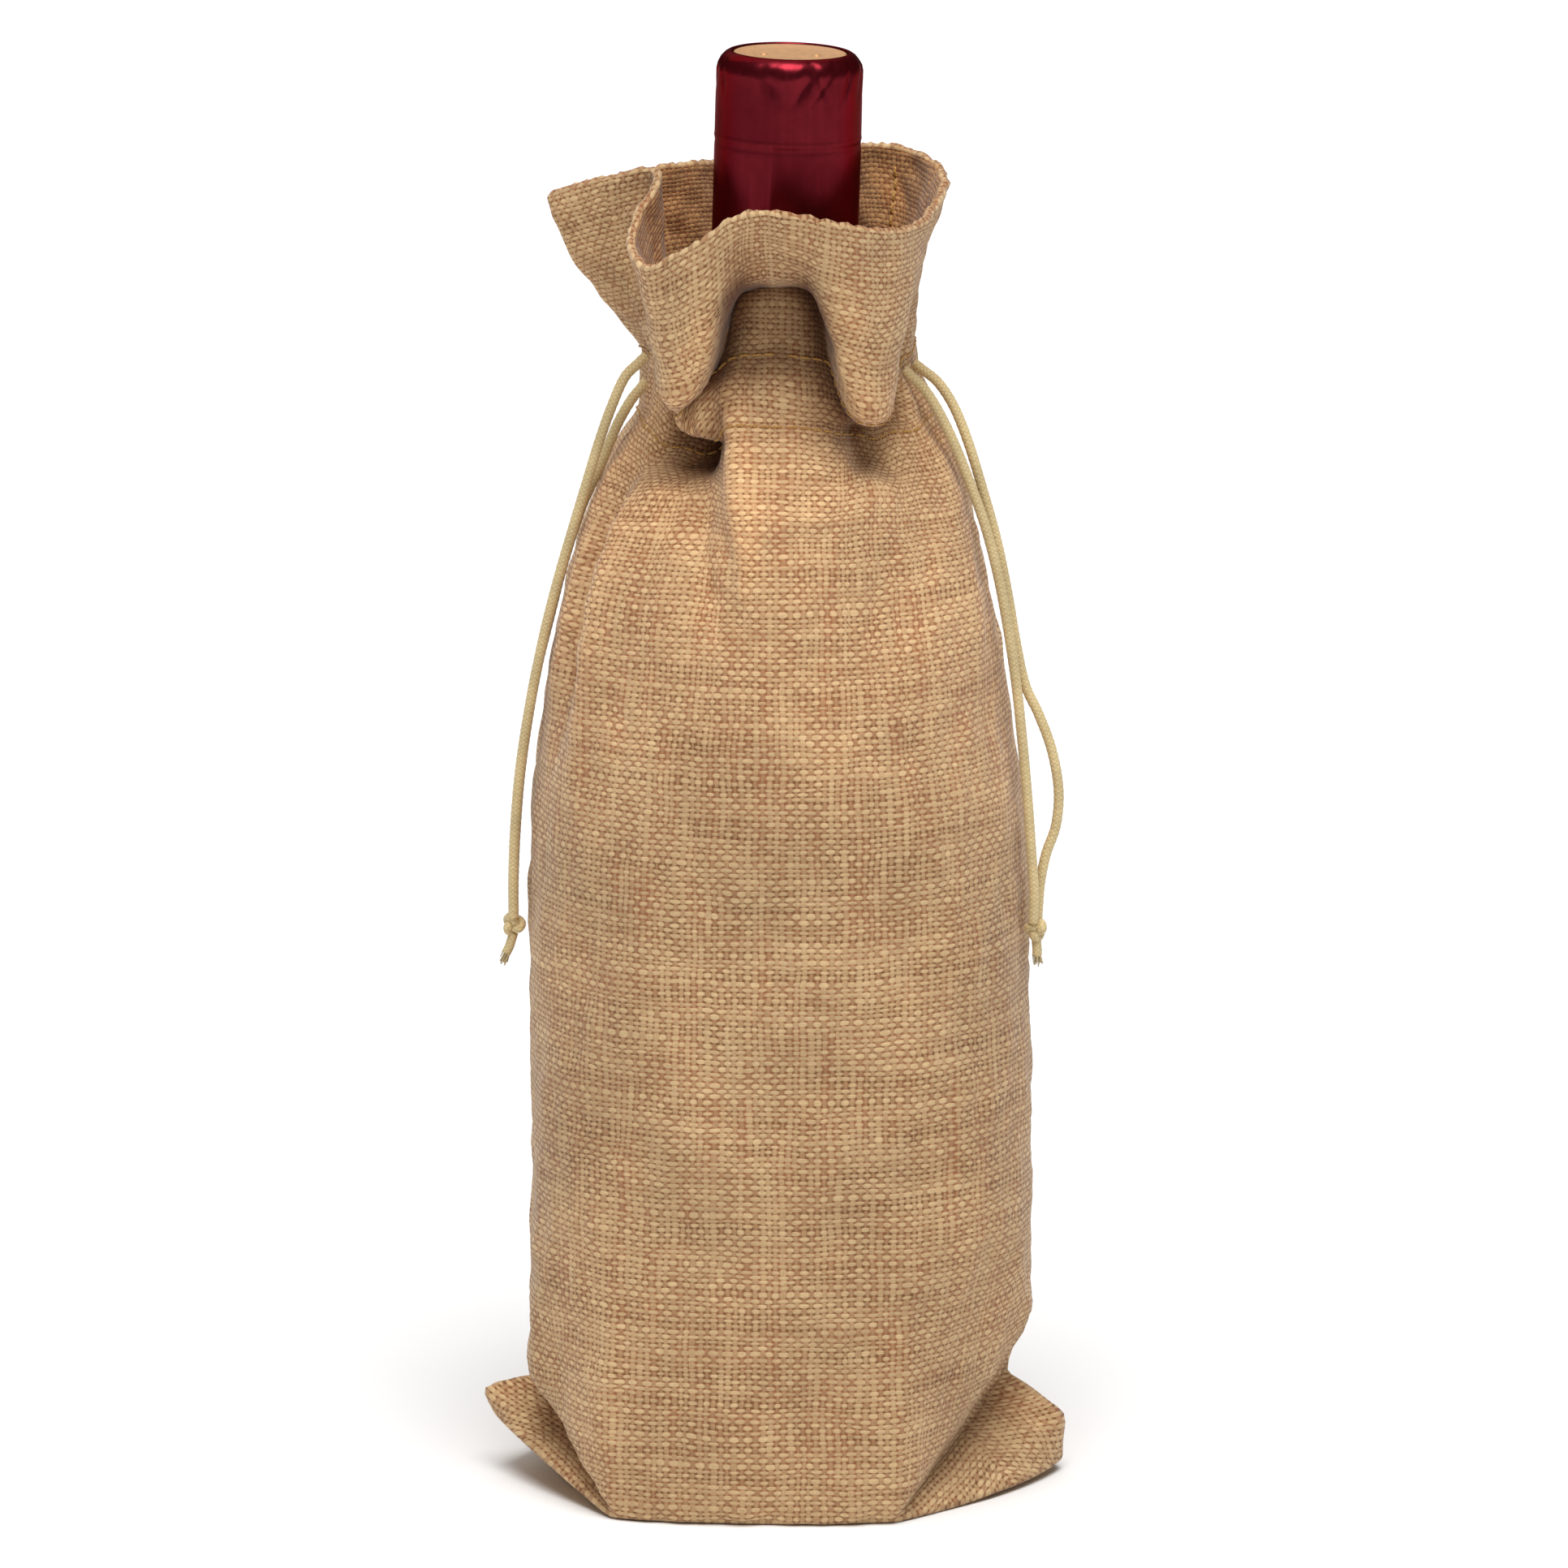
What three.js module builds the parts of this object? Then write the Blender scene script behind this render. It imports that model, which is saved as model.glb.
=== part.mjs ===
// A drawstring wine bag of jute cloth, standing with the bottle that it holds.
// Millimetres, +Z up, the front of the bag faces -Y. The origin is the centre of its flat base.
import * as THREE from "three";

// ---- Driving dimensions ----------------------------------------------------------------------

const CLOTH = 1.2; // thickness of one layer of jute cloth
const HEM = 2.0; // thickness of the heading and channel, where the cloth is turned in double
const GAP = 0.3; // space kept between neighbouring pieces
const WALL_FOOT = 60; // height at which the wall has left the folds of the base
const CHANNEL_FOOT = 229; // lower stitch row of the cord channel
const CHANNEL_TOP = 243; // upper stitch row, where the heading begins
const COLUMNS = 68; // columns of cloth round the bag, a multiple of 4
const WALL_STEPS = 22; // steps of cloth from WALL_FOOT up to the rim
const CROWDING = 0.7; // how much closer together those steps are at the rim than at the foot
const HEM_START = 0.72; // share of a column's rows at which the hem's double cloth begins
const HEM_BLEND = 0.06; // share of the rows over which the thickness grows

// Turns are degrees round the bag: 0 the front centre, 90 the right side seam, 180 the back.

// Sections of the bag on its upright stretch and its shoulder: reach to each side from the axis,
// and squareness, which is 2 for an ellipse.
const SECTIONS = [
  { z: 60, left: 52.9, right: 51.0, front: 42.5, back: 42.0, square: 2.5 },
  { z: 110, left: 52.8, right: 50.0, front: 43.0, back: 42.0, square: 2.3 },
  { z: 145, left: 52.2, right: 48.7, front: 43.0, back: 42.0, square: 2.2 },
  { z: 160, left: 50.7, right: 46.9, front: 42.6, back: 41.2, square: 2.1 },
  { z: 171, left: 49.2, right: 45.0, front: 42.0, back: 40.0, square: 2.0 },
  { z: 184, left: 46.8, right: 42.7, front: 40.4, back: 38.4, square: 2.0 },
  { z: 197, left: 43.7, right: 40.2, front: 37.4, back: 35.6, square: 2.0 },
  { z: 207, left: 40.6, right: 37.3, front: 34.0, back: 32.0, square: 2.0 },
  { z: 216, left: 36.4, right: 34.7, front: 29.4, back: 28.4, square: 2.0 },
  { z: 223, left: 31.8, right: 31.5, front: 25.0, back: 25.2, square: 2.0 },
  { z: 229, left: 28.0, right: 26.8, front: 21.4, back: 22.4, square: 2.0 },
  { z: 236, left: 26.2, right: 22.2, front: 19.4, back: 20.6, square: 2.0 },
  { z: 243, left: 26.2, right: 22.2, front: 19.0, back: 20.2, square: 2.0 },
];

// The rim of the heading, point by point round the bag. The cloth leaves the gathered neck for
// the rim at the height start, and leap is the share of the way that it takes in one fold there:
// the fold arches over the centre of the front and hangs low in a lobe on either side of it. A bow
// above 1 takes the cloth out early.
const RIM = [
  { turn: -148, x: -25.0, y: 21.0, z: 275.4, start: 240, leap: 0, bow: 1.6 },
  { turn: -128, x: -37.0, y: 14.5, z: 274.0, start: 240, leap: 0, bow: 1.6 },
  { turn: -112, x: -47.2, y: 6.0, z: 272.6, start: 240, leap: 0, bow: 1.5 },
  { turn: -106, x: -48.4, y: 2.8, z: 272.4, start: 240, leap: 0, bow: 1.5 },
  { turn: -91, x: -38.0, y: 0.4, z: 276.0, start: 240, leap: 0, bow: 1.5 },
  { turn: -78, x: -27.5, y: -2.0, z: 278.4, start: 241, leap: 0, bow: 1.4 },
  { turn: -72, x: -26.4, y: -7.0, z: 276.6, start: 241, leap: 0.1, bow: 1.2 },
  { turn: -62, x: -29.8, y: -15.0, z: 271.5, start: 240, leap: 0.2, bow: 1 },
  { turn: -52, x: -31.3, y: -22.5, z: 267.5, start: 238, leap: 0.36, bow: 1 },
  { turn: -44, x: -30.4, y: -29.5, z: 264.3, start: 236, leap: 0.5, bow: 1 },
  { turn: -39, x: -27.8, y: -32.6, z: 263.4, start: 235, leap: 0.62, bow: 1 },
  { turn: -33, x: -23.5, y: -34.2, z: 265.6, start: 234, leap: 0.74, bow: 1 },
  { turn: -25, x: -18.0, y: -35.3, z: 268.8, start: 236, leap: 0.78, bow: 1.2 },
  { turn: -21, x: -14.8, y: -35.9, z: 271.2, start: 243, leap: 0.72, bow: 1.3 },
  { turn: -18, x: -12.8, y: -36.2, z: 272.8, start: 252, leap: 0.6, bow: 1.3 },
  { turn: -14, x: -10.4, y: -36.5, z: 274.2, start: 256.5, leap: 0.46, bow: 1.35 },
  { turn: -7, x: -6.4, y: -36.7, z: 275.3, start: 258.5, leap: 0.33, bow: 1.35 },
  { turn: 0, x: -2.0, y: -36.6, z: 275.2, start: 258.5, leap: 0.3, bow: 1.35 },
  { turn: 7, x: 4.4, y: -36.4, z: 274.1, start: 257.5, leap: 0.38, bow: 1.35 },
  { turn: 11, x: 7.2, y: -36.2, z: 273.4, start: 254.5, leap: 0.52, bow: 1.35 },
  { turn: 14, x: 9.5, y: -36.0, z: 272.9, start: 248, leap: 0.66, bow: 1.3 },
  { turn: 17, x: 11.7, y: -35.6, z: 272.4, start: 240, leap: 0.76, bow: 1.3 },
  { turn: 21, x: 14.6, y: -34.9, z: 271.7, start: 234, leap: 0.78, bow: 1.2 },
  { turn: 27, x: 18.6, y: -33.0, z: 270.9, start: 232, leap: 0.76, bow: 1 },
  { turn: 35, x: 22.8, y: -29.8, z: 270.5, start: 232, leap: 0.7, bow: 1 },
  { turn: 42, x: 25.8, y: -25.4, z: 270.5, start: 234, leap: 0.56, bow: 0.9 },
  { turn: 52, x: 28.8, y: -18.6, z: 271.6, start: 240, leap: 0.3, bow: 0.9 },
  { turn: 63, x: 30.5, y: -11.0, z: 273.4, start: 243, leap: 0.1, bow: 0.9 },
  { turn: 78, x: 32.6, y: 0.0, z: 275.8, start: 244, leap: 0, bow: 0.95 },
  { turn: 92, x: 31.4, y: 10.5, z: 277.2, start: 244, leap: 0, bow: 1 },
  { turn: 106, x: 26.6, y: 20.2, z: 278.5, start: 242, leap: 0, bow: 1.4 },
  { turn: 120, x: 18.0, y: 26.4, z: 279.0, start: 240, leap: 0, bow: 1.6 },
  { turn: 135, x: 12.5, y: 35.5, z: 276.0, start: 240, leap: 0, bow: 1.6 },
  { turn: 147, x: 6.0, y: 38.5, z: 274.0, start: 240, leap: 0, bow: 1.6 },
  { turn: 160, x: 0.5, y: 32.0, z: 274.6, start: 240, leap: 0, bow: 1.6 },
  { turn: 173, x: -6.0, y: 37.6, z: 273.4, start: 240, leap: 0, bow: 1.6 },
  { turn: 184, x: -12.5, y: 36.4, z: 273.6, start: 240, leap: 0, bow: 1.6 },
  { turn: 198, x: -17.5, y: 27.6, z: 275.0, start: 240, leap: 0, bow: 1.6 },
];
const LEAP_RISE = 3.5; // height in which the fold at start is taken
const LEAP_SAG = 0.4; // how far the fold hangs below the cloth that it springs from

// The gathers lie beside the front centre of the neck, so the cloth spreads out between them.
const SPREAD = 0.13; // most shift, as a share of the half panel
const SPREAD_END = 0.8; // share of the half panel where the cloth is back in its even place
const SPREAD_FOOT = 205; // height at which the cloth begins to spread
const SPREAD_POWER = 0.7; // below 1 puts the most shift near the front centre

// Soft ridges (out above 0) and troughs (out below 0) between two heights. Each runs from
// turn_foot at its foot to turn_top at its top, spreads by left and right to its sides, and has a
// lower end as sharp as edge.
const FOLDS = [
  { name: "ridge", foot: 186, top: 240, turn_foot: -11, turn_top: -24, left: 3.2, right: 7, edge: 2,
    out: 3.4 },
  { name: "small_lobe", foot: 223, top: 238, turn_foot: -38, turn_top: -38, left: 4.6, right: 3.8,
    edge: 5, out: 3.5 },
  { name: "left_hollow", foot: 213, top: 229, turn_foot: -42, turn_top: -42, left: 6.5, right: 5,
    edge: 3, out: -4.0 },
  { name: "channel_puff", foot: 230, top: 243, turn_foot: -2, turn_top: 2, left: 6, right: 7,
    edge: 3, out: 1.4 },
  { name: "right_hollow", foot: 213, top: 231, turn_foot: 40, turn_top: 42, left: 7, right: 9,
    edge: 3, out: -3.4 },
  { name: "belly", foot: 206, top: 233, turn_foot: 8, turn_top: 6, left: 8, right: 8, edge: 4,
    out: 2.6 },
  { name: "left_shoulder", foot: 165, top: 238, turn_foot: -70, turn_top: -76, left: 5, right: 6,
    edge: 3, out: 2.2 },
  { name: "right_shoulder", foot: 170, top: 232, turn_foot: 62, turn_top: 70, left: 6, right: 6,
    edge: 3, out: 2.2 },
  { name: "right_slope", foot: 172, top: 216, turn_foot: 36, turn_top: 24, left: 8, right: 8, edge: 3,
    out: -1.6 },
  { name: "left_slope", foot: 176, top: 224, turn_foot: -38, turn_top: -46, left: 8, right: 6,
    edge: 3, out: 1.2 },
];
const CHANNEL_BULGE = 1; // how far the channel's cloth stands out between its stitch rows

// Gathers round the sides and back of the neck, an uneven row of ridges that die out downwards.
const GATHERS = [
  { turn: 86, foot: 200, out: 2.2 },
  { turn: 104, foot: 186, out: 3.4 },
  { turn: 123, foot: 204, out: 2.6 },
  { turn: 141, foot: 180, out: 3.8 },
  { turn: 160, foot: 196, out: 3.0 },
  { turn: 178, foot: 184, out: 3.6 },
  { turn: 197, foot: 202, out: 2.8 },
  { turn: 215, foot: 182, out: 3.8 },
  { turn: 234, foot: 198, out: 3.0 },
  { turn: 252, foot: 190, out: 3.2 },
];
const GATHER_REACH = 4.6; // half width of one gather
const GATHER_TOP = 268; // height in the heading at which the gathers have died out

// The corners of the base. The front and back panels turn under at an edge that ends at
// base_x, base_y, and a crease runs from there up to the side of the wall. cloth is the share of
// the panel's half width that the edge takes.
const CORNERS = {
  front_left: { cloth: 0.5, base_x: -36.5, base_y: -35.0, x: -53.3, y: -16.0, z: 26.0 },
  front_right: { cloth: 0.34, base_x: 23.0, base_y: -38.0, x: 51.4, y: -10.0, z: 38.0 },
  back_right: { cloth: 0.48, base_x: 33.0, base_y: 36.0, x: 51.4, y: 13.0, z: 30.0 },
  back_left: { cloth: 0.48, base_x: -36.0, base_y: 35.0, x: -53.3, y: 15.0, z: 27.0 },
};
const EDGE_Y = { front: -39.5, back: 38.5 }; // reach of the base's edge at the panel's centre

// The ears: the sewn corners of the flat bag, which stand out at the sides of the base. corner and
// tip are the lower and upper ends of the ear's blunt end, under is the fold's end below them, belly
// bends the ear's edge, root is where the seam meets the wall and lift_x where the fold leaves the
// ground.
const EARS = {
  left: { lift_x: -46, tip: [-63.4, -0.6, 18.0], corner: [-61.2, 0, 12.8], under: [-59.4, 0.4, 11.6],
    belly: [-56.5, 13, 10.8], root: [-49.6, 2, 21] },
  right: { lift_x: 38, tip: [58.4, -1, 12.6], corner: [58.2, 0, 2.8], under: [55.8, 0.4, 1.9],
    belly: [51, 18, 1.1], root: [46, 3, 21] },
};
const BROW = 0.3; // share of the way up an ear at which its seam stands out to the tip
const BROW_POWER = 2.5; // how near the seam that happens
const VALLEY_DEPTH = 3; // how far the valley above an ear is drawn in
const VALLEY_START = { out: 1.3, up: 1.2 }; // from the base's edge to the valley's line, at the front
const CREASE_START = { out: 1.9, up: 3.2 }; // and to the crease's line
const CREASE_BEND = 0.55; // share of the way at which a crease turns from the panel to its side
const SIDE_FOOT = { left: [-53.6, 0, 30], right: [50.4, 2, 36] }; // where the side wall begins
const SOFTENING = 0.35; // share of the way that each point moves towards its neighbours
const BASE_Z = CLOTH / 2; // the base's mid-surface, so that the cloth lies on the ground

// The rows of cloth below WALL_FOOT, counted from the fold under the base.
const BASE_ROWS = [
  { from: "fold", to: "edge", steps: 3 },
  { from: "edge", to: "brow", steps: 1 },
  { from: "brow", to: "valley", steps: 2 },
  { from: "valley", to: "crease", steps: 2 },
  { from: "crease", to: "wall", steps: 3 },
];

const BOTTLE_LEAN = 1.6; // degrees that the bottle leans to the right on the crumpled base
const BOTTLE_FOOT_X = -7.6; // where the bottle's axis meets the base
const BOTTLE_RADIUS = 37;
const NECK_RADIUS = 14;
const SHOULDER_FOOT = 176; // along the bottle's axis, where its side begins to draw in
const SHOULDER_TOP = 214; // along the bottle's axis, where its neck begins
const FOIL_RADIUS = 15.1;
const FOIL = 0.7; // thickness of the capsule
const FOIL_FOOT = 244; // along the bottle's axis
const BOTTLE_TOP = 301; // along the bottle's axis, above the ground
const DISC_RADIUS = 11.6;

const CORD = 2.2; // diameter of the drawcord

// Centre lines of the four strands, from the channel down to the knots.
const STRANDS = {
  cord_left_front: [
    [-30.4, -6.5, 239.3], [-33.2, -7.6, 236.6], [-35.8, -8.6, 231.0], [-38.5, -9.4, 223.5],
    [-41.1, -9.8, 215.0], [-44.1, -9.9, 205.0], [-47.0, -9.6, 195.0], [-49.8, -9.0, 184.0],
    [-52.1, -8.2, 173.0], [-54.1, -7.4, 162.0], [-55.6, -6.6, 151.0], [-56.5, -5.9, 140.0],
    [-56.9, -5.3, 130.0], [-56.9, -5.0, 123.0],
  ],
  cord_left_back: [
    [-30.3, -1.3, 232.8], [-32.1, -1.8, 230.6], [-34.9, -3.2, 225.8], [-38.2, -4.8, 218.0],
    [-42.3, -5.9, 209.0], [-45.9, -6.4, 198.0], [-49.0, -6.3, 186.0], [-51.9, -5.6, 174.0],
    [-54.0, -4.8, 162.0], [-55.5, -3.9, 151.0], [-56.4, -3.2, 140.0], [-56.9, -2.6, 130.0],
    [-57.0, -2.3, 123.0],
  ],
  cord_right_inner: [
    [25.8, -7.8, 236.6], [28.6, -8.9, 233.9], [31.4, -10.0, 229.6], [34.4, -10.8, 223.5],
    [37.8, -11.4, 215.0], [41.0, -12.2, 206.0], [43.6, -13.0, 196.0], [45.7, -13.7, 185.0],
    [47.5, -14.4, 173.0], [48.8, -15.0, 161.0], [49.9, -15.4, 149.0], [50.8, -15.6, 137.0],
    [51.3, -15.6, 130.0], [51.2, -15.4, 124.4],
  ],
  cord_right_outer: [
    [28.0, -2.4, 237.2], [31.2, -3.8, 234.8], [34.4, -5.6, 230.2], [37.4, -7.2, 223.0],
    [40.5, -8.4, 213.0], [43.3, -9.4, 203.0], [45.6, -10.2, 192.0], [47.5, -10.8, 181.0],
    [49.4, -11.2, 172.5], [52.2, -11.4, 166.4], [54.9, -11.6, 159.0], [56.4, -11.8, 150.5],
    [55.9, -12.0, 143.0], [53.9, -12.4, 137.0], [52.7, -12.8, 131.0], [52.2, -12.9, 124.4],
  ],
};
const TAILS = {
  tail_left: [[-57.4, -3.8, 116.5], [-57.9, -4.0, 115.0], [-58.8, -4.3, 113.3], [-59.6, -4.6, 111.6]],
  tail_right: [[52.0, -14.2, 118.0], [52.1, -14.4, 116.6], [52.0, -14.5, 115.2], [52.2, -14.6, 113.6]],
};
const KNOTS = {
  knot_left: { at: [-57.0, -3.7, 119.8], radius: 2.4, height: 5.4 },
  knot_right: { at: [51.8, -14.1, 121.2], radius: 2.4, height: 5.4 },
};

const COLOURS = {
  jute: { color: 0xb08a5e, roughness: 0.95, metalness: 0 },
  cord: { color: 0xd9c48f, roughness: 0.8, metalness: 0 },
  glass: { color: 0x1e2a1c, roughness: 0.15, metalness: 0 },
  foil: { color: 0x5c0f1d, roughness: 0.35, metalness: 0.8 },
  gold: { color: 0xc9a15f, roughness: 0.4, metalness: 0.7 },
};

// ---- Small helpers ---------------------------------------------------------------------------

const lerp = (a, b, t) => a + (b - a) * t;
const clamp = (t) => Math.min(1, Math.max(0, t));
const smooth = (t) => clamp(t) ** 2 * (3 - 2 * clamp(t));
const mix = (a, b, t) => a.map((value, i) => lerp(value, b[i], t));
const radians = (degrees) => (degrees * Math.PI) / 180;
const shiftedBy = ([x, y, z], { out, up }, outward) => [x, y + out * outward, z + up];
const distance = (a, b) => Math.hypot(a[0] - b[0], a[1] - b[1], a[2] - b[2]);

// One column of a table, read on a smooth curve at a place between its rows. With a period the
// table closes on itself.
function reading(rows, key, at, column, period = 0) {
  const count = rows.length;
  const row = (i) => rows[((i % count) + count) % count];
  const key_at = (i) => row(i)[key] + Math.floor(i / count) * period;
  const last = period ? count - 1 : count - 2;
  let i = 0;
  while (i < last && at >= key_at(i + 1)) i += 1;
  const slope = (j) => {
    if (!period && (j === 0 || j === count - 1)) return 0;
    return (row(j + 1)[column] - row(j - 1)[column]) / (key_at(j + 1) - key_at(j - 1));
  };
  const span = key_at(i + 1) - key_at(i);
  const t = period ? (at - key_at(i)) / span : clamp((at - key_at(i)) / span);
  const a = row(i)[column];
  const b = row(i + 1)[column];
  const bend_a = slope(i) * span;
  const bend_b = slope(i + 1) * span;
  return (
    a +
    bend_a * t +
    (3 * (b - a) - 2 * bend_a - bend_b) * t ** 2 +
    (bend_a + bend_b - 2 * (b - a)) * t ** 3
  );
}

function rimAt(turn, column) {
  const first = RIM[0].turn;
  const wrapped = first + ((((turn - first) % 360) + 360) % 360);
  return reading(RIM, "turn", wrapped, column, 360);
}

// Degrees from one turn to another, the short way round.
const turnBetween = (a, b) => ((((b - a + 180) % 360) + 360) % 360) - 180;

// A closed solid from its vertices and faces of three or four corners.
function solid(vertices, faces) {
  const index = [];
  for (const [a, b, c, d] of faces) {
    index.push(a, b, c);
    if (d !== undefined) index.push(a, c, d);
  }
  const geometry = new THREE.BufferGeometry();
  geometry.setAttribute("position", new THREE.Float32BufferAttribute(vertices.flat(), 3));
  geometry.setIndex(index);
  geometry.computeVertexNormals();
  return geometry;
}

function addMesh(group, name, geometry, look) {
  const mesh = new THREE.Mesh(geometry, new THREE.MeshStandardMaterial(COLOURS[look]));
  mesh.name = name;
  group.add(mesh);
  return mesh;
}

// ---- The bag's cloth -------------------------------------------------------------------------

const quarterTables = new Map();

// Angles of a quarter of a section at even steps of cloth.
function quarterTable(side, face, square) {
  const key = [side, face, square].map((value) => value.toFixed(2)).join();
  if (!quarterTables.has(key)) {
    const steps = 48;
    const lengths = [0];
    let before = [0, face];
    for (let i = 1; i <= steps; i += 1) {
      const angle = (Math.PI / 2) * (i / steps);
      const here = [
        side * Math.sin(angle) ** (2 / square),
        face * Math.max(0, Math.cos(angle)) ** (2 / square),
      ];
      lengths.push(lengths[i - 1] + Math.hypot(here[0] - before[0], here[1] - before[1]));
      before = here;
    }
    quarterTables.set(key, lengths);
  }
  return quarterTables.get(key);
}

// The turn at which a column of cloth lies at height z.
function spread(turn, z) {
  const at = turnBetween(0, turn);
  const share = Math.abs(at) / 90;
  if (share >= SPREAD_END) return at;
  const shift = SPREAD * Math.sin(Math.PI * (share / SPREAD_END) ** SPREAD_POWER);
  return at + Math.sign(at) * 90 * shift * smooth((z - SPREAD_FOOT) / (CHANNEL_FOOT - SPREAD_FOOT));
}

// A point of the section at height z, before folds: x and y.
function sectionPoint(turn, z) {
  const at = spread(turn, z);
  const read = (column) => reading(SECTIONS, "z", z, column);
  const side = read(at < 0 ? "left" : "right");
  const front = Math.abs(at) <= 90;
  const face = read(front ? "front" : "back");
  const square = read("square");
  const share = (front ? Math.abs(at) : 180 - Math.abs(at)) / 90;
  const lengths = quarterTable(side, face, square);
  const wanted = share * lengths[lengths.length - 1];
  let i = 0;
  while (i < lengths.length - 2 && lengths[i + 1] < wanted) i += 1;
  const part = (wanted - lengths[i]) / (lengths[i + 1] - lengths[i]);
  const angle = (Math.PI / 2) * ((i + part) / (lengths.length - 1));
  const x = side * Math.sin(angle) ** (2 / square);
  const y = face * Math.max(0, Math.cos(angle)) ** (2 / square);
  return [at < 0 ? -x : x, front ? -y : y];
}

// How far the folds and gathers push the cloth out at a place on the wall.
function foldsOut(turn, z) {
  const low = Math.min(z, CHANNEL_TOP);
  const [x, y] = sectionPoint(turn, low);
  const radius = Math.hypot(x, y);
  const place = spread(turn, z);
  let out = CHANNEL_BULGE * Math.sin(Math.PI * clamp((z - CHANNEL_FOOT) / (CHANNEL_TOP - CHANNEL_FOOT)));
  for (const fold of FOLDS) {
    const along = (z - fold.foot) / (fold.top - fold.foot);
    if (along <= 0 || along >= 1) continue;
    const away = radians(turnBetween(lerp(fold.turn_foot, fold.turn_top, along), place)) * radius;
    const across = away / (away < 0 ? fold.left : fold.right);
    const fade = smooth(along * fold.edge) * smooth((1 - along) * 3);
    out += fold.out * fade * Math.exp(-(across ** 2));
  }
  for (const gather of GATHERS) {
    const below = smooth((z - gather.foot) / (CHANNEL_FOOT - gather.foot));
    const above = smooth((GATHER_TOP - z) / (GATHER_TOP - CHANNEL_TOP));
    const across = (radians(turnBetween(gather.turn, turn)) * radius) / GATHER_REACH;
    out += gather.out * below * above * Math.exp(-(across ** 2));
  }
  return out;
}

// A point of the wall, channel or heading: part runs from 0 at WALL_FOOT to 1 at the rim.
function upperPoint(turn, part) {
  const rim_z = rimAt(turn, "z");
  const level = lerp(WALL_FOOT, rim_z, part);
  const [x, y] = sectionPoint(turn, Math.min(level, CHANNEL_TOP));
  const out = 1 + foldsOut(turn, level) / Math.hypot(x, y);
  const start = rimAt(turn, "start");
  const leap = rimAt(turn, "leap");
  const jump = smooth((level - start) / LEAP_RISE);
  const climb = clamp((level - start) / (rim_z - start));
  const reach = leap * jump + (1 - leap) * (1 - (1 - climb) ** rimAt(turn, "bow"));
  const sag = LEAP_SAG * leap * 4 * jump * (1 - jump);
  return [
    lerp(x * out, rimAt(turn, "x"), reach),
    lerp(y * out, rimAt(turn, "y"), reach),
    level - sag,
  ];
}

// Points of one column from WALL_FOOT to the rim at chosen steps of cloth, closer at the top.
function upperColumn(turn) {
  const samples = 400;
  const line = [upperPoint(turn, 0)];
  const lengths = [0];
  for (let i = 1; i <= samples; i += 1) {
    line.push(upperPoint(turn, i / samples));
    lengths.push(lengths[i - 1] + distance(line[i], line[i - 1]));
  }
  const points = [];
  let i = 0;
  for (let step = 1; step <= WALL_STEPS; step += 1) {
    const t = step / WALL_STEPS;
    const wanted = lengths[samples] * ((1 + CROWDING) * t - CROWDING * t ** 2);
    while (i < samples - 1 && lengths[i + 1] < wanted) i += 1;
    const within = clamp((wanted - lengths[i]) / (lengths[i + 1] - lengths[i]));
    points.push(mix(line[i], line[i + 1], within));
  }
  return points;
}

// A point on one of the named lines of the base, at a turn.
function basePoint(line, turn) {
  const at = turnBetween(0, turn);
  const side = at < 0 ? "left" : "right";
  const face = Math.abs(at) <= 90 ? "front" : "back";
  const corner = CORNERS[`${face}_${side}`];
  const ear = EARS[side];
  const outward = face === "front" ? -1 : 1;
  const share = (face === "front" ? Math.abs(at) : 180 - Math.abs(at)) / 90;
  if (line === "wall") return [...sectionPoint(turn, WALL_FOOT), WALL_FOOT];
  const along = clamp(share / corner.cloth);
  const past = clamp((share - corner.cloth) / (1 - corner.cloth));
  const edge_y = lerp(EDGE_Y[face], corner.base_y, along ** 2);
  const belly = [ear.belly[0], ear.belly[1] * outward, ear.belly[2]];
  const foot = [corner.base_x * along, edge_y, BASE_Z];
  if (line === "fold") {
    return past === 0 ? [ear.lift_x * along, 0, BASE_Z] : mix([ear.lift_x, 0, BASE_Z], ear.under, past);
  }
  const edge = mix(mix(foot, belly, past), mix(belly, ear.corner, past), past);
  if (line === "edge") return edge;
  const valley = mix(shiftedBy(foot, VALLEY_START, outward), ear.root, past);
  valley[1] -= outward * VALLEY_DEPTH * 4 * past * (1 - past);
  if (line === "valley") return valley;
  if (line === "brow") {
    const seam = mix(ear.corner, ear.root, BROW);
    return mix(edge, valley, BROW).map((value, i) => value + (ear.tip[i] - seam[i]) * past ** BROW_POWER);
  }
  const start = shiftedBy(foot, CREASE_START, outward);
  const top = [corner.x, corner.y, corner.z];
  return past < CREASE_BEND
    ? mix(start, top, past / CREASE_BEND)
    : mix(top, SIDE_FOOT[side], (past - CREASE_BEND) / (1 - CREASE_BEND));
}

// Points of one column from the fold under the base up to WALL_FOOT.
function baseColumn(turn) {
  const points = [];
  for (const { from, to, steps } of BASE_ROWS) {
    const a = basePoint(from, turn);
    const b = basePoint(to, turn);
    for (let step = 0; step < steps; step += 1) points.push(mix(a, b, step / steps));
  }
  points.push(basePoint("wall", turn));
  return points;
}

// Softens the grid of cloth from a row upwards: each point moves towards its neighbours.
function softened(grid, first_row, rounds) {
  let now = grid;
  for (let round = 0; round < rounds; round += 1) {
    const before = now;
    now = before.map((column, c) =>
      column.map((point, r) => {
        if (r < first_row || r >= column.length - 1) return point;
        const left = before[(c + before.length - 1) % before.length][r];
        const right = before[(c + 1) % before.length][r];
        const around = mix(mix(left, right, 0.5), mix(column[r - 1], column[r + 1], 0.5), 0.5);
        return mix(point, around, SOFTENING);
      }),
    );
  }
  return now;
}

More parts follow.
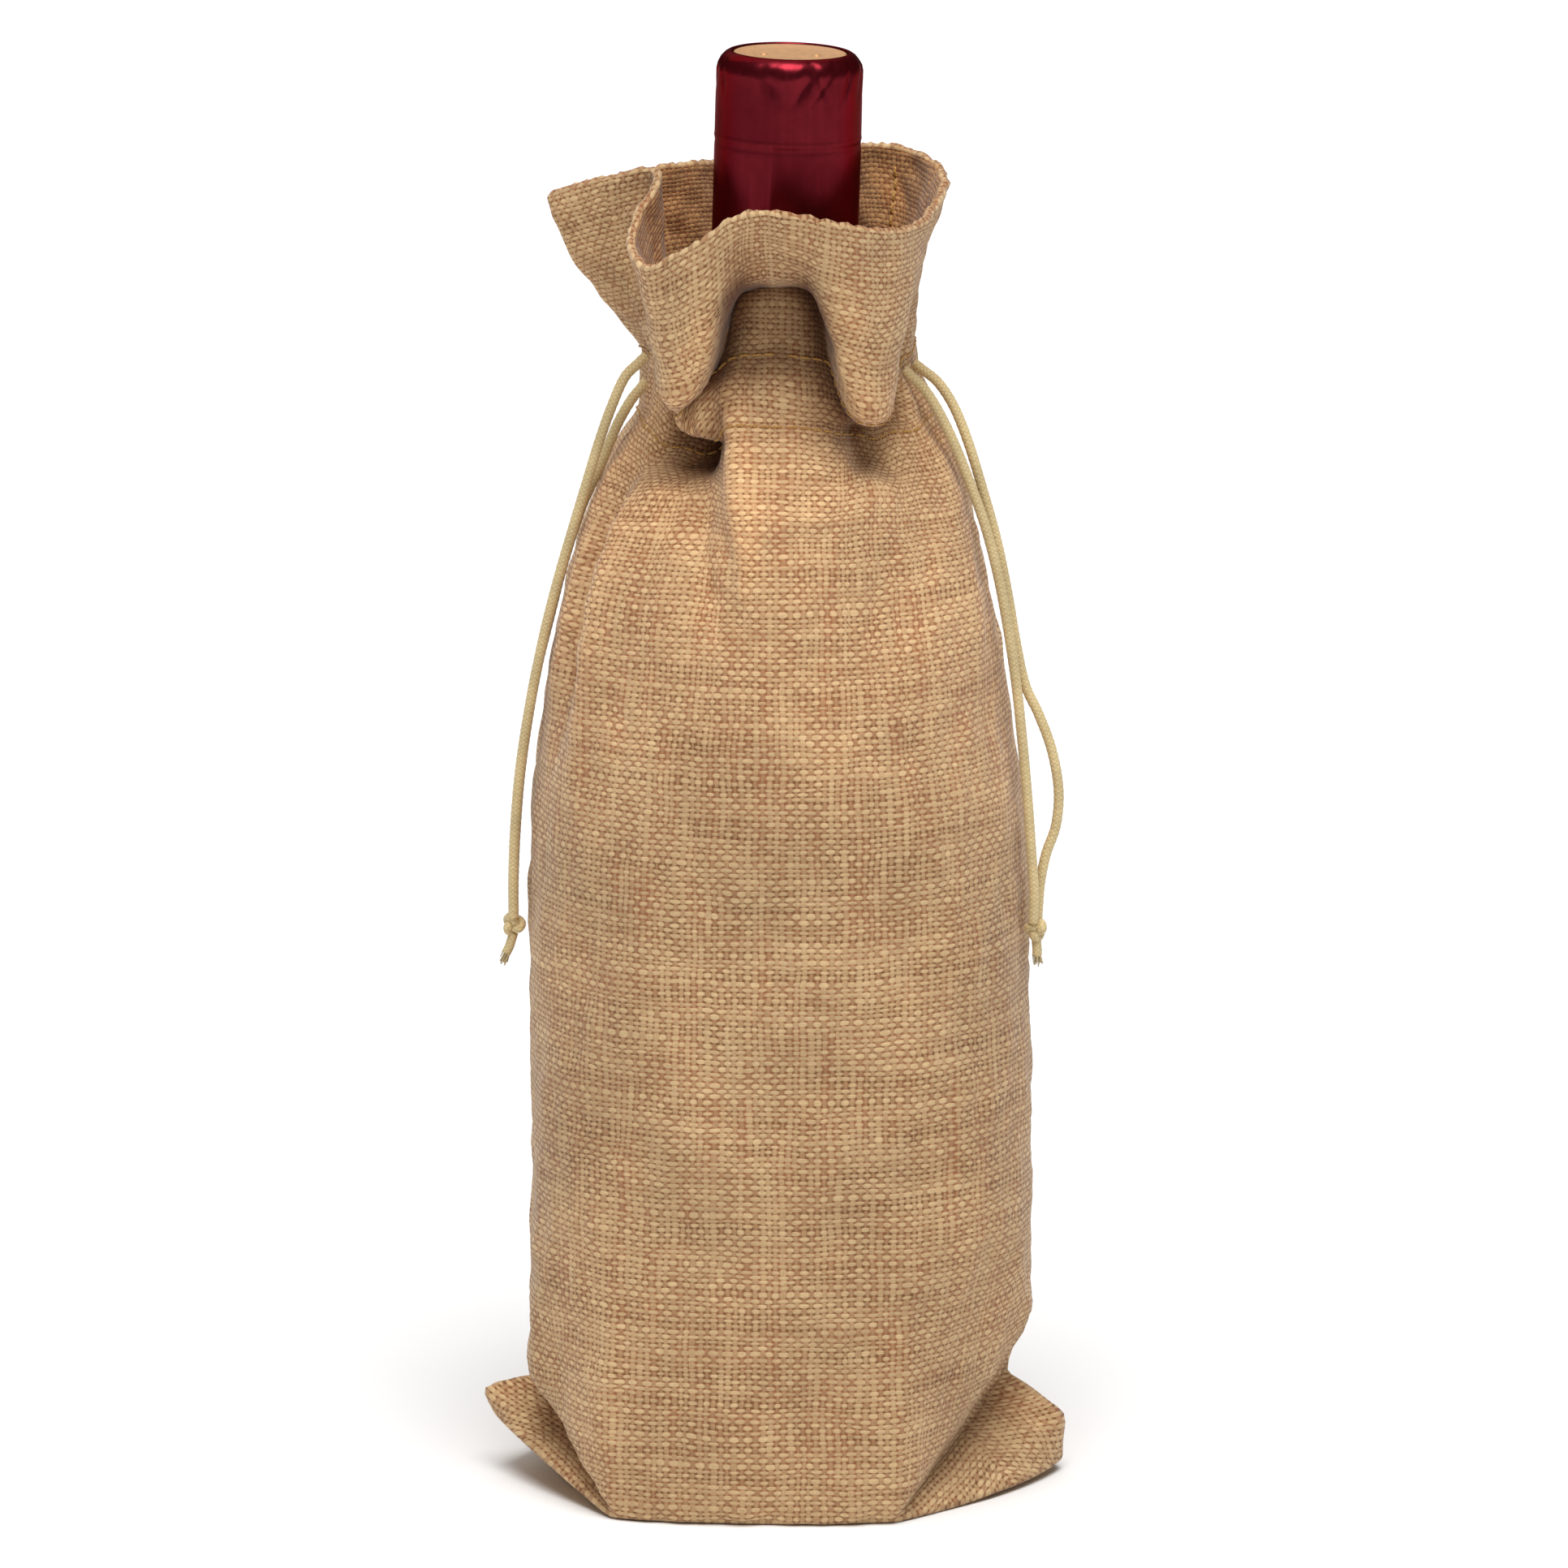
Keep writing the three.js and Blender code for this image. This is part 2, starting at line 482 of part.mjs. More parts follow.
// The cloth as one closed shell round its mid-surface.
function bagCloth() {
  const turns = Array.from({ length: COLUMNS }, (_, c) => (360 * c) / COLUMNS);
  const columns = turns.map((turn) => [...baseColumn(turn), ...upperColumn(turn)]);
  const base_steps = BASE_ROWS.reduce((sum, row) => sum + row.steps, 0);
  const grid = softened(columns, base_steps - 1, 1);
  const rows = grid[0].length;
  // Along the fold under the base, a column of the front and one of the back share their point.
  const partner = (c) => (COLUMNS + COLUMNS / 2 - c) % COLUMNS;
  const vertices = [];
  const number = grid.map((column, c) =>
    column.map((point, r) => {
      if (r === 0 && partner(c) < c) return -1;
      vertices.push(point);
      return vertices.length - 1;
    }),
  );
  number.forEach((column, c) => {
    if (column[0] === -1) column[0] = number[partner(c)][0];
  });
  const faces = [];
  for (let c = 0; c < COLUMNS; c += 1) {
    const next = (c + 1) % COLUMNS;
    for (let r = 0; r < rows - 1; r += 1) {
      const corners = [number[c][r], number[next][r], number[next][r + 1], number[c][r + 1]];
      faces.push([...new Set(corners)]);
    }
  }
  const normals = vertexNormals(vertices, faces);
  const doubled = (row) => smooth((row / (rows - 1) - HEM_START) / HEM_BLEND);
  const half = (row) => lerp(CLOTH, HEM, doubled(row)) / 2;
  const row_of = new Map();
  number.forEach((column) => column.forEach((v, r) => row_of.set(v, r)));
  const shifted = (sign) =>
    vertices.map((point, v) => {
      const thick = half(row_of.get(v)) * sign;
      return point.map((value, i) => value + normals[v][i] * thick);
    });
  const count = vertices.length;
  const shell = [...faces, ...faces.map((face) => face.map((v) => v + count).reverse())];
  for (let c = 0; c < COLUMNS; c += 1) {
    const a = number[c][rows - 1];
    const b = number[(c + 1) % COLUMNS][rows - 1];
    shell.push([a, b, b + count, a + count]);
  }
  return solid([...shifted(1), ...shifted(-1)], shell);
}

// Mean normals of the faces round each vertex.
function vertexNormals(vertices, faces) {
  const sums = vertices.map(() => new THREE.Vector3());
  const at = (v) => new THREE.Vector3(...vertices[v]);
  for (const face of faces) {
    face.forEach((v, i) => {
      const before = at(face[(i + face.length - 1) % face.length]).sub(at(v));
      const after = at(face[(i + 1) % face.length]).sub(at(v));
      const angle = before.angleTo(after);
      sums[v].addScaledVector(after.cross(before).normalize(), angle);
    });
  }
  return sums.map((sum) => sum.normalize().toArray());
}

// ---- The bottle ------------------------------------------------------------------------------

// Turns a profile of radius and height about the bottle's leaning axis.
function turned(profile, sides) {
  const geometry = new THREE.LatheGeometry(
    profile.map(([radius, height]) => new THREE.Vector2(radius, height)),
    sides,
  );
  geometry.rotateX(Math.PI / 2);
  geometry.rotateY(radians(BOTTLE_LEAN));
  const lift = CLOTH + GAP + BOTTLE_RADIUS * Math.sin(radians(BOTTLE_LEAN));
  return geometry.translate(BOTTLE_FOOT_X, 0, lift);
}

// Heel, straight side, shoulder, neck and lip, from the foot up.
function bottleProfile() {
  const steps = 8;
  const shoulder = [];
  for (let i = 0; i <= steps; i += 1) {
    const t = i / steps;
    const radius = lerp(BOTTLE_RADIUS, NECK_RADIUS, smooth(t));
    shoulder.push([radius, lerp(SHOULDER_FOOT, SHOULDER_TOP, 0.75 * t + 0.25 * t ** 3)]);
  }
  const lip = BOTTLE_TOP - 2.3;
  const heel = [[0, 0], [BOTTLE_RADIUS - 3, 0], [BOTTLE_RADIUS - 0.8, 1], [BOTTLE_RADIUS, 4]];
  return [...heel, ...shoulder, [NECK_RADIUS, lip - 2.3], [NECK_RADIUS - 1.6, lip], [0, lip]];
}

// The foil sleeve, with its shoulder turned in over the bottle's lip and a hole for the disc.
function capsuleProfile() {
  const inside = FOIL_RADIUS - FOIL;
  const hole = DISC_RADIUS + GAP;
  const top = BOTTLE_TOP - 0.4;
  const skirt = [[inside, FOIL_FOOT], [FOIL_RADIUS, FOIL_FOOT], [FOIL_RADIUS, top - 3.6]];
  const over = [[FOIL_RADIUS - 0.8, top - 1.6], [hole + 0.8, top], [hole, top]];
  const under = [[hole, top - 1.1], [inside - 0.9, top - 2.3], [inside, top - 4]];
  return [...skirt, ...over, ...under, skirt[0]];
}

// The disc in the capsule's top.
function capsuleTopProfile() {
  const top = BOTTLE_TOP - 0.7;
  const foot = top - 1.1;
  return [[0, foot], [DISC_RADIUS, foot], [DISC_RADIUS, top], [0, top]];
}

// ---- Cords -----------------------------------------------------------------------------------

// A round cord along its centre line, with square-cut ends.
function cord(points, sides = 8) {
  const route = new THREE.CatmullRomCurve3(points.map((point) => new THREE.Vector3(...point)));
  const section = new THREE.Shape();
  for (let i = 0; i < sides; i += 1) {
    const angle = (2 * Math.PI * i) / sides;
    const corner = [(CORD / 2) * Math.cos(angle), (CORD / 2) * Math.sin(angle)];
    if (i === 0) section.moveTo(...corner);
    else section.lineTo(...corner);
  }
  section.closePath();
  const steps = Math.max(4, Math.round(route.getLength() / (2.6 * CORD)));
  return new THREE.ExtrudeGeometry(section, { steps, extrudePath: route, bevelEnabled: false });
}

// A knot's outer form: a small upright barrel.
function knot({ at, radius, height }) {
  const profile = [
    [0, -0.5], [0.45, -0.5], [0.85, -0.28], [1, 0], [0.85, 0.28], [0.45, 0.5], [0, 0.5],
  ].map(([across, up]) => new THREE.Vector2(across * radius, up * height));
  return new THREE.LatheGeometry(profile, 12).rotateX(Math.PI / 2).translate(...at);
}

// ---- The whole -------------------------------------------------------------------------------

const wineBag = new THREE.Group();
addMesh(wineBag, "bag_cloth", bagCloth(), "jute");
addMesh(wineBag, "bottle", turned(bottleProfile(), 32), "glass");
addMesh(wineBag, "capsule", turned(capsuleProfile(), 32), "foil");
addMesh(wineBag, "capsule_top", turned(capsuleTopProfile(), 32), "gold");
for (const [name, points] of Object.entries({ ...STRANDS, ...TAILS })) {
  addMesh(wineBag, name, cord(points), "cord");
}
for (const [name, place] of Object.entries(KNOTS)) addMesh(wineBag, name, knot(place), "cord");

export default wineBag;
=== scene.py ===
"""A drawstring wine bag of jute cloth with the bottle that it holds."""
import math

import bpy
import numpy as np
from bpy.props import FloatProperty, FloatVectorProperty, IntProperty, PointerProperty
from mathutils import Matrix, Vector
from mathutils.bvhtree import BVHTree


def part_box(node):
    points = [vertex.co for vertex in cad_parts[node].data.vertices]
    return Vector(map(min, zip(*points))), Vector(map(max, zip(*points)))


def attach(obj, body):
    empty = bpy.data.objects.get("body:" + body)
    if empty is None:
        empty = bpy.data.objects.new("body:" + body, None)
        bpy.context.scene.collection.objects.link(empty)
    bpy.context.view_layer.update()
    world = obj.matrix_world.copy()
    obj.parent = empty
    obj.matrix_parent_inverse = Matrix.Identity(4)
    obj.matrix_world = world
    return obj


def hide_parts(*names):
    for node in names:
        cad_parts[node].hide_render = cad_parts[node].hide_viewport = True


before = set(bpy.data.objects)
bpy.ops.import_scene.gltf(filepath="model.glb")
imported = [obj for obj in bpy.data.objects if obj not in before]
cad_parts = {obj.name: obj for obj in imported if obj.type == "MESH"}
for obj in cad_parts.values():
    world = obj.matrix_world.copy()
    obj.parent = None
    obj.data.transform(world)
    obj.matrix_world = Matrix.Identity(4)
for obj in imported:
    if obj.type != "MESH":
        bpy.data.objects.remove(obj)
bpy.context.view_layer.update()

bl_info = {
    "name": "Jute wine bag",
    "version": (1, 0, 0),
    "blender": (4, 5, 0),
    "location": "View3D > Sidebar > Wine bag",
    "description": "Builds a gathered jute bag, its drawcords and the bottle inside it",
    "category": "Object",
}

MM = 0.001  # the tables below are in millimetres unless they say otherwise

# ---- Shape of the cloth ----------------------------------------------------------------------
# Turns are degrees round the bag: 0 the front centre, 90 the right side seam, 180 the back.

WALL_FOOT = 60.0  # height at which the wall has left the folds of the base
CHANNEL_FOOT = 229.0  # lower stitch row of the cord channel
CHANNEL_TOP = 243.0  # upper stitch row, where the heading begins

# Reach of the wall to each side of the axis, and squareness, 2 for an ellipse.
SECTION_NAMES = ("z", "left", "right", "front", "back", "square")
SECTIONS = (
    (60, 52.9, 51.0, 42.5, 42.0, 2.5),
    (110, 52.8, 50.0, 43.0, 42.0, 2.3),
    (145, 52.2, 48.7, 43.0, 42.0, 2.2),
    (160, 50.7, 46.9, 42.6, 41.2, 2.1),
    (171, 49.2, 45.0, 42.0, 40.0, 2.0),
    (184, 46.8, 42.7, 40.4, 38.4, 2.0),
    (197, 43.7, 40.2, 37.4, 35.6, 2.0),
    (207, 40.6, 37.3, 34.0, 32.0, 2.0),
    (216, 36.4, 34.7, 29.4, 28.4, 2.0),
    (223, 31.8, 31.5, 25.0, 25.2, 2.0),
    (229, 28.0, 26.8, 21.4, 22.4, 2.0),
    (236, 26.2, 22.2, 19.4, 20.6, 2.0),
    (243, 26.2, 22.2, 19.0, 20.2, 2.0),
)

# The rim of the heading. The cloth leaves the neck for the rim at the height start, and leap is
# the share of the way that it takes in one fold there. bow above 1 takes it out early.
RIM_NAMES = ("turn", "x", "y", "z", "start", "leap", "bow")
RIM = (
    (-148, -25.0, 21.0, 275.4, 240, 0.0, 1.6),
    (-128, -37.0, 14.5, 274.0, 240, 0.0, 1.6),
    (-112, -47.2, 6.0, 272.6, 240, 0.0, 1.5),
    (-106, -48.4, 2.8, 272.4, 240, 0.0, 1.5),
    (-91, -38.0, 0.4, 276.0, 240, 0.0, 1.5),
    (-78, -27.5, -2.0, 278.4, 241, 0.0, 1.4),
    (-72, -26.4, -7.0, 276.6, 241, 0.1, 1.2),
    (-62, -29.8, -15.0, 271.5, 240, 0.2, 1.0),
    (-52, -31.3, -22.5, 267.5, 238, 0.36, 1.0),
    (-44, -30.4, -29.5, 264.3, 236, 0.5, 1.0),
    (-39, -27.8, -32.6, 263.4, 235, 0.62, 1.0),
    (-33, -23.5, -34.2, 265.6, 234, 0.74, 1.0),
    (-25, -18.0, -35.3, 268.8, 239, 0.78, 1.2),
    (-21, -14.8, -35.9, 271.2, 249, 0.72, 1.3),
    (-18, -12.8, -36.2, 272.8, 255, 0.60, 1.3),
    (-14, -10.4, -36.5, 274.2, 257.5, 0.46, 1.35),
    (-7, -6.4, -36.7, 275.3, 258.5, 0.33, 1.35),
    (0, -2.0, -36.6, 275.2, 258.5, 0.30, 1.35),
    (7, 4.4, -36.4, 274.1, 257.5, 0.38, 1.35),
    (11, 7.2, -36.2, 273.4, 254.5, 0.52, 1.35),
    (14, 9.5, -36.0, 272.9, 248, 0.66, 1.3),
    (17, 11.7, -35.6, 272.4, 240, 0.76, 1.3),
    (21, 14.6, -34.9, 271.7, 233, 0.78, 1.2),
    (27, 18.6, -33.0, 270.9, 230.5, 0.76, 1.0),
    (35, 22.8, -29.8, 270.5, 231, 0.7, 1.0),
    (42, 25.8, -25.4, 270.5, 234, 0.56, 0.9),
    (52, 28.8, -18.6, 271.6, 240, 0.3, 0.9),
    (63, 30.5, -11.0, 273.4, 243, 0.1, 0.9),
    (78, 32.6, 0.0, 275.8, 244, 0.0, 0.95),
    (92, 31.4, 10.5, 277.2, 244, 0.0, 1.0),
    (106, 26.6, 20.2, 278.5, 242, 0.0, 1.4),
    (120, 18.0, 26.4, 279.0, 240, 0.0, 1.6),
    (135, 12.5, 35.5, 276.0, 240, 0.0, 1.6),
    (147, 6.0, 38.5, 274.0, 240, 0.0, 1.6),
    (160, 0.5, 32.0, 274.6, 240, 0.0, 1.6),
    (173, -6.0, 37.6, 273.4, 240, 0.0, 1.6),
    (184, -12.5, 36.4, 273.6, 240, 0.0, 1.6),
    (198, -17.5, 27.6, 275.0, 240, 0.0, 1.6),
)
LEAP_RISE = 3.5  # height over which that fold is taken
LEAP_SAG = 2.4  # how far it hangs down half way, at a leap of 1
# The gathers lie beside the front centre of the neck, so the cloth spreads out between them.
SPREAD = 0.13  # most shift, as a share of the half panel
SPREAD_END = 0.8  # share of the half panel at which the shift has faded
SPREAD_FOOT = 205.0  # height at which it begins

# Soft ridges (out above 0) and troughs (below 0) between two heights. reach is how far each
# spreads to the left and to the right, bend curves its line, edge sharpens its lower end.
# Each row is foot, top, turn_foot, turn_top, bend, left, right, edge, out.
FOLDS = {
    "centre_ridge": (186, 247, -11, -31, 2.0, 1.6, 7.0, 2, 6.0),
    "ridge_side": (184, 226, -18, -33, 1.0, 5.0, 2.5, 3, -2.4),
    "small_lobe": (225.5, 241, -38, -38, 1.0, 4.4, 3.6, 9, 7.0),
    "left_hollow": (215, 229, -43, -43, 1.0, 6.5, 6.0, 3, -10.5),
    "channel_puff": (230, 243, -2, 2, 1.0, 6.0, 7.0, 3, 1.6),
    "left_gather": (218, 246, -56, -56, 1.0, 2.2, 2.4, 3, -3.6),
    "right_hollow": (216, 232, 40, 40, 1.0, 7.0, 8.0, 3, -5.6),
    "right_gather": (222, 246, 66, 66, 1.0, 2.0, 2.5, 3, 1.6),
    "right_tuck": (224, 246, 56, 56, 1.0, 2.0, 2.4, 3, -3.0),
    "belly": (207, 233, 8, 6, 1.0, 8.0, 8.0, 5, 2.8),
    "left_crease": (146, 226, -62, -54, 1.0, 1.3, 8.0, 2, 4.4),
    "left_tuck": (150, 224, -70, -63, 1.0, 4.0, 2.6, 2, -3.6),
    "left_shoulder": (165, 238, -72, -76, 1.0, 5.0, 5.0, 3, 2.2),
    "right_shoulder": (170, 232, 62, 70, 1.0, 6.0, 6.0, 3, 2.4),
    "right_slope": (172, 216, 36, 24, 1.0, 8.0, 8.0, 3, -1.6),
    "left_slope": (176, 224, -38, -46, 1.0, 8.0, 6.0, 3, 1.2),
}
CHANNEL_BULGE = 1.1  # how far the cloth of the channel stands out between its stitch rows

# Gathers round the sides and back of the neck: turn, foot, out.
GATHERS = (
    (86, 200, 2.4), (104, 186, 3.6), (123, 204, 2.8), (141, 180, 4.0), (160, 196, 3.2),
    (178, 184, 3.8), (197, 202, 3.0), (215, 182, 4.0), (234, 198, 3.2), (252, 190, 3.4),
)
GATHER_REACH = 4.2  # how far a gather spreads to each side
GATHER_TOP = 268.0  # height at which the gathers have faded in the heading

# Corners of the base: share of the half panel that the edge takes, the edge's end on the ground,
# and where the crease that starts there meets the side of the wall.
CORNERS = {
    ("front", "left"): (0.50, -36.5, -35.0, (-53.3, -16.0, 26.0)),
    ("front", "right"): (0.34, 23.0, -38.0, (51.4, -10.0, 38.0)),
    ("back", "right"): (0.48, 33.0, 36.0, (51.4, 13.0, 30.0)),
    ("back", "left"): (0.48, -36.0, 35.0, (-53.3, 15.0, 27.0)),
}
EDGE_Y = {"front": -39.5, "back": 38.5}

# The sewn corners of the flat bag, which stand out as ears.
EARS = {
    "left": {"lift_x": -46, "tip": (-64.2, -1, 18.4), "corner": (-61.4, 0, 12.6),
             "under": (-59.6, 0.4, 12.0), "belly": (-56.5, 13, 10.8), "root": (-49.6, 2, 21)},
    "right": {"lift_x": 38, "tip": (58.4, -1, 12.6), "corner": (58.2, 0, 2.8),
              "under": (55.8, 0.4, 1.9), "belly": (51, 18, 1.1), "root": (46, 3, 21)},
}
SIDE_FOOT = {"left": (-53.6, 0, 30), "right": (50.4, 2, 36)}
CREASE_BEND = 0.55
BROW = 0.3  # share of the way up the ear at which its seam stands out to the tip
BROW_POWER = 5  # how near the seam that happens
VALLEY_DEPTH = 3.5  # how far the valley above the ear is drawn in
SHOULDER_UP = 0.140  # metres of cloth from WALL_FOOT up to the shoulder
HEADING_FINER = 0.14  # how much closer the yarns lie in the heading
BACK_YARNS = 634  # yarns by which the back's pattern is set apart from the front's
INSIDE_YARNS = 400.0  # and the inner layer's from the outer layer's
RIM_YARNS = 0.35  # yarns from one ring of the rim to the next
ROUND = 0.300  # metres of cloth round the bag, twice its flat width
HEM_UP = 0.170  # metres of cloth from WALL_FOOT up to the double cloth of the channel
SEAM_TURN = 112  # degrees round the bag of the seam inside the back of the heading
SEAM_REACH = (0.034, 0.001)  # metres of cloth below the rim, where it begins and ends
# These set the painted shade in the cloth's colour: in folds, under other cloth and on faces turned
# down.
DEPTH_ROUNDS = 40  # rounds of softening that tell a fold from the form around it
COVER_RAYS = 24  # directions in which a point of cloth looks for cloth above it
COVER_REACH = 0.022  # metres within which that cloth counts
COVER_START = 0.0012  # metres off the cloth at which the search begins
OPEN_WALL = (0.055, 0.185)  # heights in metres between which none is looked for
TURNED_DOWN = 0.42  # what a face that is turned down counts as cover: painted shade where it faces away from the light above
NEAR_GROUND = 0.4  # share of cover and of fold depth, and so of painted shade, that is kept below WALL_FOOT
BASE_ROWS = (("fold", "edge", 16), ("edge", "brow", 5), ("brow", "valley", 9),
             ("valley", "crease", 6), ("crease", "wall", 16))

# ---- Bottle ----------------------------------------------------------------------------------

BOTTLE_LEAN = math.radians(1.6)
BOTTLE_FOOT_X = -7.6
BOTTLE_RADIUS = 37.0
NECK_RADIUS = 14.0
SHOULDER_FOOT = 176.0  # along the axis, where the side begins to draw in
SHOULDER_RISE = 38.0  # from there to the foot of the neck
LIP_BELOW = 3.0  # how far the lip lies below the capsule's top
FOIL_RADIUS = 15.1
FOIL = 0.7  # thickness of the capsule
DISC_GAP = 0.3  # between the disc and the hole in the capsule
FOIL_FOOT = 244.0
BOTTLE_TOP = 301.0
FOIL_TOP = BOTTLE_TOP - 0.4
DISC_TOP = BOTTLE_TOP - 0.7
DISC_RADIUS = 11.6

# ---- Drawcords, in metres --------------------------------------------------------------------

CORD = 0.0022
STRANDS = {
    "cord_left_front": (
        (-0.0304, -0.0065, 0.2393), (-0.0332, -0.0076, 0.2366), (-0.0358, -0.0086, 0.2310),
        (-0.0385, -0.0094, 0.2235), (-0.0411, -0.0098, 0.2150), (-0.0441, -0.0099, 0.2050),
        (-0.0470, -0.0096, 0.1950), (-0.0498, -0.0090, 0.1840), (-0.0521, -0.0082, 0.1730),
        (-0.0541, -0.0074, 0.1620), (-0.0556, -0.0066, 0.1510), (-0.0565, -0.0059, 0.1400),
        (-0.0569, -0.0053, 0.1300), (-0.0569, -0.0050, 0.1230),
    ),
    "cord_left_back": (
        (-0.0303, -0.0013, 0.2328), (-0.0321, -0.0018, 0.2306), (-0.0349, -0.0032, 0.2258),
        (-0.0382, -0.0048, 0.2180), (-0.0423, -0.0059, 0.2090), (-0.0459, -0.0064, 0.1980),
        (-0.0490, -0.0063, 0.1860), (-0.0519, -0.0056, 0.1740), (-0.0540, -0.0048, 0.1620),
        (-0.0555, -0.0039, 0.1510), (-0.0564, -0.0032, 0.1400), (-0.0569, -0.0026, 0.1300),
        (-0.0570, -0.0023, 0.1230),
    ),
    "cord_right_inner": (
        (0.0258, -0.0078, 0.2366), (0.0286, -0.0089, 0.2339), (0.0314, -0.0100, 0.2296),
        (0.0344, -0.0108, 0.2235), (0.0378, -0.0114, 0.2150), (0.0410, -0.0122, 0.2060),
        (0.0436, -0.0130, 0.1960), (0.0457, -0.0137, 0.1850), (0.0475, -0.0144, 0.1730),
        (0.0488, -0.0150, 0.1610), (0.0499, -0.0154, 0.1490), (0.0508, -0.0156, 0.1370),
        (0.0513, -0.0156, 0.1300), (0.0512, -0.0154, 0.1244),
    ),
    "cord_right_outer": (
        (0.0280, -0.0024, 0.2372), (0.0312, -0.0038, 0.2348), (0.0344, -0.0056, 0.2302),
        (0.0374, -0.0072, 0.2230), (0.0405, -0.0084, 0.2130), (0.0433, -0.0094, 0.2030),
        (0.0456, -0.0102, 0.1920), (0.0475, -0.0108, 0.1810), (0.0494, -0.0112, 0.1725),
        (0.0522, -0.0114, 0.1664), (0.0549, -0.0116, 0.1590), (0.0564, -0.0118, 0.1505),
        (0.0559, -0.0120, 0.1430), (0.0539, -0.0124, 0.1370), (0.0527, -0.0128, 0.1310),
        (0.0522, -0.0129, 0.1244),
    ),
}
# How much further each strand reaches into the cloth than its route shows.
TUCKED = 0.0022
INTO_KNOT = 0.0014  # and how far strands and tails reach into their knot
TAILS = {
    "tail_left": (
        (-0.0574, -0.0038, 0.1165), (-0.0579, -0.0040, 0.1150), (-0.0588, -0.0043, 0.1133),
        (-0.0596, -0.0046, 0.1116),
    ),
    "tail_right": (
        (0.0520, -0.0142, 0.1180), (0.0521, -0.0144, 0.1166), (0.0520, -0.0145, 0.1152),
        (0.0522, -0.0146, 0.1136),
    ),
}

# ---- Sizes and colours that a user may change ------------------------------------------------


class WineBagSizes(bpy.types.PropertyGroup):
    """Sizes of the cloth, its weave, its thread and its mesh"""

    cloth: FloatProperty(
        name="Cloth", description="Thickness of one layer of jute", default=0.0012,
        unit="LENGTH", subtype="DISTANCE")
    hem: FloatProperty(
        name="Hem", description="Thickness of the heading, where the cloth is double",
        default=0.0019, unit="LENGTH", subtype="DISTANCE")
    warp: FloatProperty(
        name="Warp pitch", description="Distance from one upright yarn to the next",
        default=0.00142, unit="LENGTH", subtype="DISTANCE")
    weft: FloatProperty(
        name="Weft pitch", description="Distance from one level yarn to the next",
        default=0.0012, unit="LENGTH", subtype="DISTANCE")
    stitch: FloatProperty(
        name="Stitch", description="Length of one stitch", default=0.0026,
        unit="LENGTH", subtype="DISTANCE")
    thread: FloatProperty(
        name="Thread", description="Diameter of the sewing thread", default=0.00042,
        unit="LENGTH", subtype="DISTANCE")
    columns: IntProperty(
        name="Columns", description="Columns of the cloth's mesh, a multiple of 4",
        default=240, min=48, max=400)
    rows: IntProperty(
        name="Rows", description="Rows of the wall's mesh", default=140, min=40, max=400)


class WineBagColours(bpy.types.PropertyGroup):
    """Colours of the cloth, thread, cords, foil and glass"""

    weft: FloatVectorProperty(
        name="Weft", description="Pale level yarns", subtype="COLOR",
        default=(0.76, 0.53, 0.285), min=0, max=1)
    warp: FloatVectorProperty(
        name="Warp", description="Tan upright yarns", subtype="COLOR",
        default=(0.46, 0.275, 0.135), min=0, max=1)
    rust: FloatVectorProperty(
        name="Rust", description="Reddish slubs in the yarns", subtype="COLOR",
        default=(0.36, 0.140, 0.062), min=0, max=1)
    gap: FloatVectorProperty(
        name="Gap", description="Shade between the yarns", subtype="COLOR",
        default=(0.215, 0.090, 0.032), min=0, max=1)
    thread: FloatVectorProperty(
        name="Thread", description="Golden sewing thread", subtype="COLOR",
        default=(0.62, 0.32, 0.05), min=0, max=1)
    cord: FloatVectorProperty(
        name="Cord", description="Cream drawcord", subtype="COLOR",
        default=(0.74, 0.58, 0.30), min=0, max=1)
    foil: FloatVectorProperty(
        name="Foil", description="Wine-red capsule", subtype="COLOR",
        default=(0.185, 0.0140, 0.0220), min=0, max=1)
    disc: FloatVectorProperty(
        name="Disc", description="Gold disc in the capsule's top", subtype="COLOR",
        default=(0.66, 0.35, 0.150), min=0, max=1)
    glass: FloatVectorProperty(
        name="Glass", description="Dark green bottle glass", subtype="COLOR",
        default=(0.012, 0.022, 0.010), min=0, max=1)


def sizes():
    return bpy.context.scene.wine_bag_sizes


def colours():
    return bpy.context.scene.wine_bag_colours


# ---- Tables and curves -----------------------------------------------------------------------


def smooth(t):
    t = np.clip(t, 0, 1)
    return t * t * (3 - 2 * t)


def lerp(a, b, t):
    return a + (b - a) * t


def blend_points(a, b, t):
    return np.asarray(a, float) * (1 - t) + np.asarray(b, float) * t


def turn_between(a, b):
    return (b - a + 180) % 360 - 180


def wrapped(angle):
    """The same angle between -pi and pi."""
    return np.angle(np.exp(1j * angle))


class Curves:
    """A table with named columns, read on smooth curves between its rows."""

    def __init__(self, names, rows, period=0):
        table = np.array(rows, float)
        self.start, self.period, self.names = table[0, 0], period, names
        if period:
            before, after = table[-2:].copy(), table[:3].copy()
            before[:, 0] -= period
            after[:, 0] += period
            table = np.vstack((before, table, after))
        self.keys, self.table = table[:, 0], table
        self.slopes = np.zeros_like(table)
        span = (self.keys[2:] - self.keys[:-2])[:, None]
        self.slopes[1:-1] = (table[2:] - table[:-2]) / span

    def read(self, name, at):
        at = np.asarray(at, float)
        if self.period:
            at = self.start + (at - self.start) % self.period
        i = np.clip(np.searchsorted(self.keys, at, "right") - 1, 0, len(self.keys) - 2)
        span = self.keys[i + 1] - self.keys[i]
        t = np.clip((at - self.keys[i]) / span, 0, 1)
        c = self.names.index(name)
        a, b = self.table[i, c], self.table[i + 1, c]
        p, q = self.slopes[i, c] * span, self.slopes[i + 1, c] * span
        return a + p * t + (3 * (b - a) - 2 * p - q) * t**2 + (p + q - 2 * (b - a)) * t**3


SECTION_CURVES = Curves(SECTION_NAMES, SECTIONS)
RIM_CURVES = Curves(RIM_NAMES, RIM, 360)


